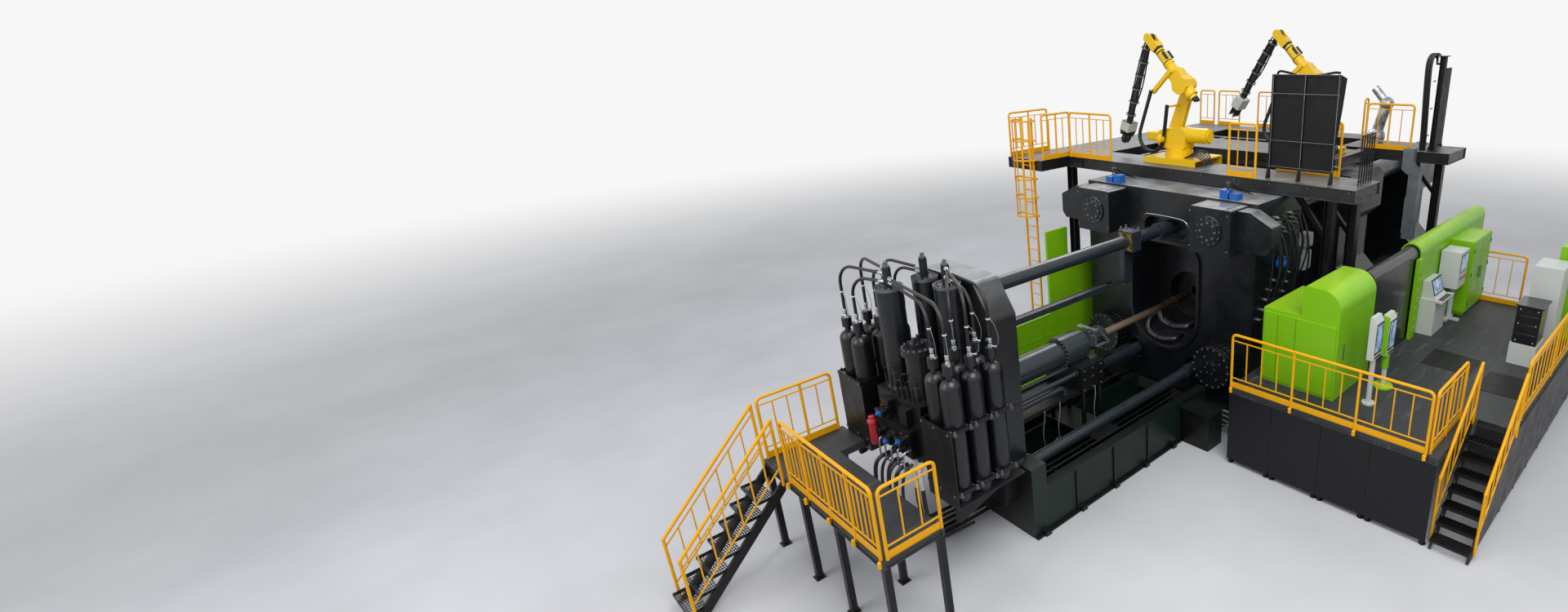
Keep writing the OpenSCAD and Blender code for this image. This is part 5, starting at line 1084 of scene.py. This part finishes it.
# Handles, hinges and joints of the green cabinets and guards; cabinets as (x0, x1, front, top)
cabinets = {"places": [(4.95, 6.20, -4.65, 3.29), (4.70, 5.90, -6.72, 3.54)], "handleZ": (2.35, 2.62),
            "hinge": 0.011, "hingeLength": 0.09, "guardHinges": (1.80, 2.30, 2.80)}
handleMesh = bmesh.new()
lowZ, highZ = cabinets["handleZ"]
for x0, x1, y, top in cabinets["places"]:
    middle = (x0 + x1) / 2
    for x in (middle - 0.06, middle + 0.06):
        addBox(handleMesh, (x - 0.012, y - 0.03, lowZ), (x + 0.012, y - 0.018, highZ))
        for z in (2.37, 2.58):
            addBox(handleMesh, (x - 0.010, y - 0.02, z), (x + 0.010, y, z + 0.02))
    for x, z in product((x0 + 0.02, x1 - 0.02), (1.85, 2.5, top - 0.25)):
        addRod(handleMesh, (x, y - 0.005, z), (x, y - 0.005, z + cabinets["hingeLength"]),
               cabinets["hinge"])
addBox(handleMesh, (-0.30, -4.182, 2.30), (-0.27, -4.17, 2.60))
for z in cabinets["guardHinges"]:
    addRod(handleMesh, (-0.548, -4.12, z), (-0.548, -4.12, z + cabinets["hingeLength"]), 0.010)
makePiece("cabinetHandles", handleMesh, boltDark, bevel=0.002)
panelJoints = {"housingXs": (4.15, 5.20, 6.25), "boxYs": (-3.40, -3.05), "width": 0.006}
jointMesh = bmesh.new()
for x in panelJoints["housingXs"]:
    addBox(jointMesh, (x, -4.1715, 1.62), (x + panelJoints["width"], -4.1695, 3.30))
for y in panelJoints["boxYs"]:
    addBox(jointMesh, (-0.5615, y, 1.68), (-0.5600, y + panelJoints["width"], 2.94))
makePiece("panelJoints", jointMesh, doorBlack)
# Grip and its two feet, slim enough to pass the housing's post
doorHandle = {"grip": ((0.945, -4.138, 2.25), (0.975, -4.130, 2.75)), "footZs": (2.28, 2.70)}
doorMesh = bmesh.new()
addBox(doorMesh, *doorHandle["grip"])
for z in doorHandle["footZs"]:
    addBox(doorMesh, (0.950, -4.132, z), (0.970, -4.118, z + 0.02))
makePiece("doorHandle", doorMesh, fittingSteel, "guard_door", bevel=0.004)
print("operator platform dressed")

# Posts of the railings: small base knobs under the deck edges, and bolts of the top platform
railKnobs = {"profile": [(0, 0.02), (0.01, 0.03), (0.09, 0.03), (0.10, 0.02)],
             "rows": {-7.872: (-1.74, -1.10, -0.43, 0.24, 0.80), -1.212: (-5.95, -4.85, -3.72, -2.54)}}
knobMesh = bmesh.new()
for x, ys in railKnobs["rows"].items():
    for y in ys:
        addTurned(knobMesh, (x, y, 1.50), toTop, railKnobs["profile"], 16)
makePiece("railKnobs", knobMesh, railAmber)
splices = {"xs": (1.03, 1.35, 1.75, 2.07), "zs": (4.76, 4.89), "edgeBolts": 9, "edgePitch": 0.8,
           "bolt": 0.014, "feet": [(1.38, -2.96), (1.90, -3.20), (6.60, -3.20)], "footOut": 0.105}
spliceMesh = bmesh.new()
addBolts(spliceMesh, splices["xs"], (-3.57,), splices["zs"], toOperator, splices["bolt"])
for i in range(splices["edgeBolts"]):
    addBolt(spliceMesh, (1.0, -3.45 + splices["edgePitch"] * i, 4.89), toShotEnd, splices["bolt"])
corner = splices["footOut"]
for x, y in splices["feet"]:
    addBolts(spliceMesh, (x - corner, x + corner), (y - corner, y + corner), (1.62,), toTop,
             splices["bolt"])
makePiece("platformBolts", spliceMesh, boltDark)
print("rail knobs and splices built")

# Floor and background: pale plain ground that runs out into white
stageLook = {"white": "#f7f7f7", "floor": "#c6c7cb", "floorPatch": "#b8b9bd", "room": "#eef1f5",
             "roomLight": 0.55, "centre": (0.0, -2.0), "clear": 14.0, "fade": 46.0, "half": 300}


# 1 for rays of the camera, mirrors and glass: these see the white surroundings
def seenDirectly(tree):
    path = addNode(tree, "LightPath").outputs
    mirrored = addNode(tree, "Math", path["Is Camera Ray"], path["Is Glossy Ray"], operation="MAXIMUM")
    return addNode(tree, "Math", mirrored, path["Is Transmission Ray"], operation="MAXIMUM")


# Screeded floor: matt, in broad clouds of two greys
def stageMaterial():
    material, tree, shader = newMaterial("paleFloor")
    clouds = grain(tree, 3200, 0.35, 0.7, detail=4.0)
    tone = addNode(tree, "Mix", clouds, linear(stageLook["floor"]), linear(stageLook["floorPatch"]),
                   data_type="RGBA")
    fillInputs(tree, shader, Base_Color=tone, Roughness=0.75)
    glow = addNode(tree, "Emission", linear(stageLook["white"]), 1.0)
    away = addNode(tree, "VectorMath", objectPoint(tree), operation="LENGTH")
    ease = addNode(tree, "MapRange", away, stageLook["clear"], stageLook["fade"],
                   interpolation_type="SMOOTHSTEP")
    share = addNode(tree, "Math", ease, seenDirectly(tree), operation="MULTIPLY")
    fillInputs(tree, tree.nodes["Material Output"], addNode(tree, "MixShader", share, shader, glow))
    return material


floorMesh = bmesh.new()
half = stageLook["half"]
floorMesh.faces.new([floorMesh.verts.new((x * half, y * half, 0.0))
                     for x, y in ((-1, -1), (1, -1), (1, 1), (-1, 1))])
floorData = bpy.data.meshes.new("floor")
floorMesh.to_mesh(floorData)
floorMesh.free()
floor = bpy.data.objects.new("floor", floorData)
floor.location = (*stageLook["centre"], -0.002)
floorData.materials.append(stageMaterial())
bpy.context.scene.collection.objects.link(floor)

world = bpy.data.worlds.new("softRoom")
bpy.context.scene.world = world
world.use_nodes = True
sky = world.node_tree
room = sky.nodes["Background"]
fillInputs(sky, room, linear(stageLook["room"]), stageLook["roomLight"])
plainWhite = addNode(sky, "Background", linear(stageLook["white"]), 1.0)
fillInputs(sky, sky.nodes["World Output"], addNode(sky, "MixShader", seenDirectly(sky), room, plainWhite))

lamps = {
    "overhead": {"place": (-6.0, -9.0, 15.0), "aim": (0.0, -1.5, 2.0), "size": 11.0, "power": 2100},
    "sideFill": {"place": (-17.0, 3.0, 9.0), "aim": (-2.0, 0.0, 2.0), "size": 9.0, "power": 750},
    "backRim": {"place": (10.0, 9.0, 15.0), "aim": (2.0, 0.0, 4.0), "size": 9.0, "power": 1200},
}
for lampName, lampPlan in lamps.items():
    lampData = bpy.data.lights.new(lampName, "AREA")
    lampData.shape = "SQUARE"
    lampData.size = lampPlan["size"]
    lampData.energy = lampPlan["power"]
    lamp = bpy.data.objects.new(lampName, lampData)
    lamp.location = lampPlan["place"]
    lamp.rotation_euler = (Vector(lampPlan["aim"]) - lamp.location).to_track_quat("-Z", "Y").to_euler()
    bpy.context.scene.collection.objects.link(lamp)

# Camera: solved from the photo's vanishing points; focal length, centre and picture size in its pixels
shot = {"focal": 852.5, "centre": (1350.0, 364.0), "picture": (1920.0, 750.0), "yaw": 43.2, "pitch": 20.3,
        "roll": -1.70, "place": (-11.0, -8.6, 7.6), "sensor": 36.0}


def aimCamera():
    yaw, pitch, roll = (math.radians(shot[key]) for key in ("yaw", "pitch", "roll"))
    ahead = Vector((math.cos(pitch) * math.cos(yaw), math.cos(pitch) * math.sin(yaw), -math.sin(pitch)))
    right = ahead.cross(Vector((0, 0, 1))).normalized()
    up = right.cross(ahead)
    turnedRight = math.cos(roll) * right + math.sin(roll) * up
    turnedUp = -math.sin(roll) * right + math.cos(roll) * up
    camera = bpy.data.objects.new("camera", bpy.data.cameras.new("camera"))
    width, height = shot["picture"]
    camera.data.sensor_width = shot["sensor"]
    camera.data.lens = shot["focal"] * shot["sensor"] / width
    camera.data.shift_x = (width / 2 - shot["centre"][0]) / width
    camera.data.shift_y = (shot["centre"][1] - height / 2) / width
    camera.data.clip_start = 0.1
    camera.data.clip_end = 1000.0
    turn = Matrix((turnedRight, turnedUp, -ahead)).transposed()
    camera.matrix_world = Matrix.Translation(Vector(shot["place"])) @ turn.to_4x4()
    bpy.context.scene.collection.objects.link(camera)
    bpy.context.scene.camera = camera


aimCamera()
bpy.context.scene.view_settings.view_transform = "Standard"
print("stage, lamps and camera set")
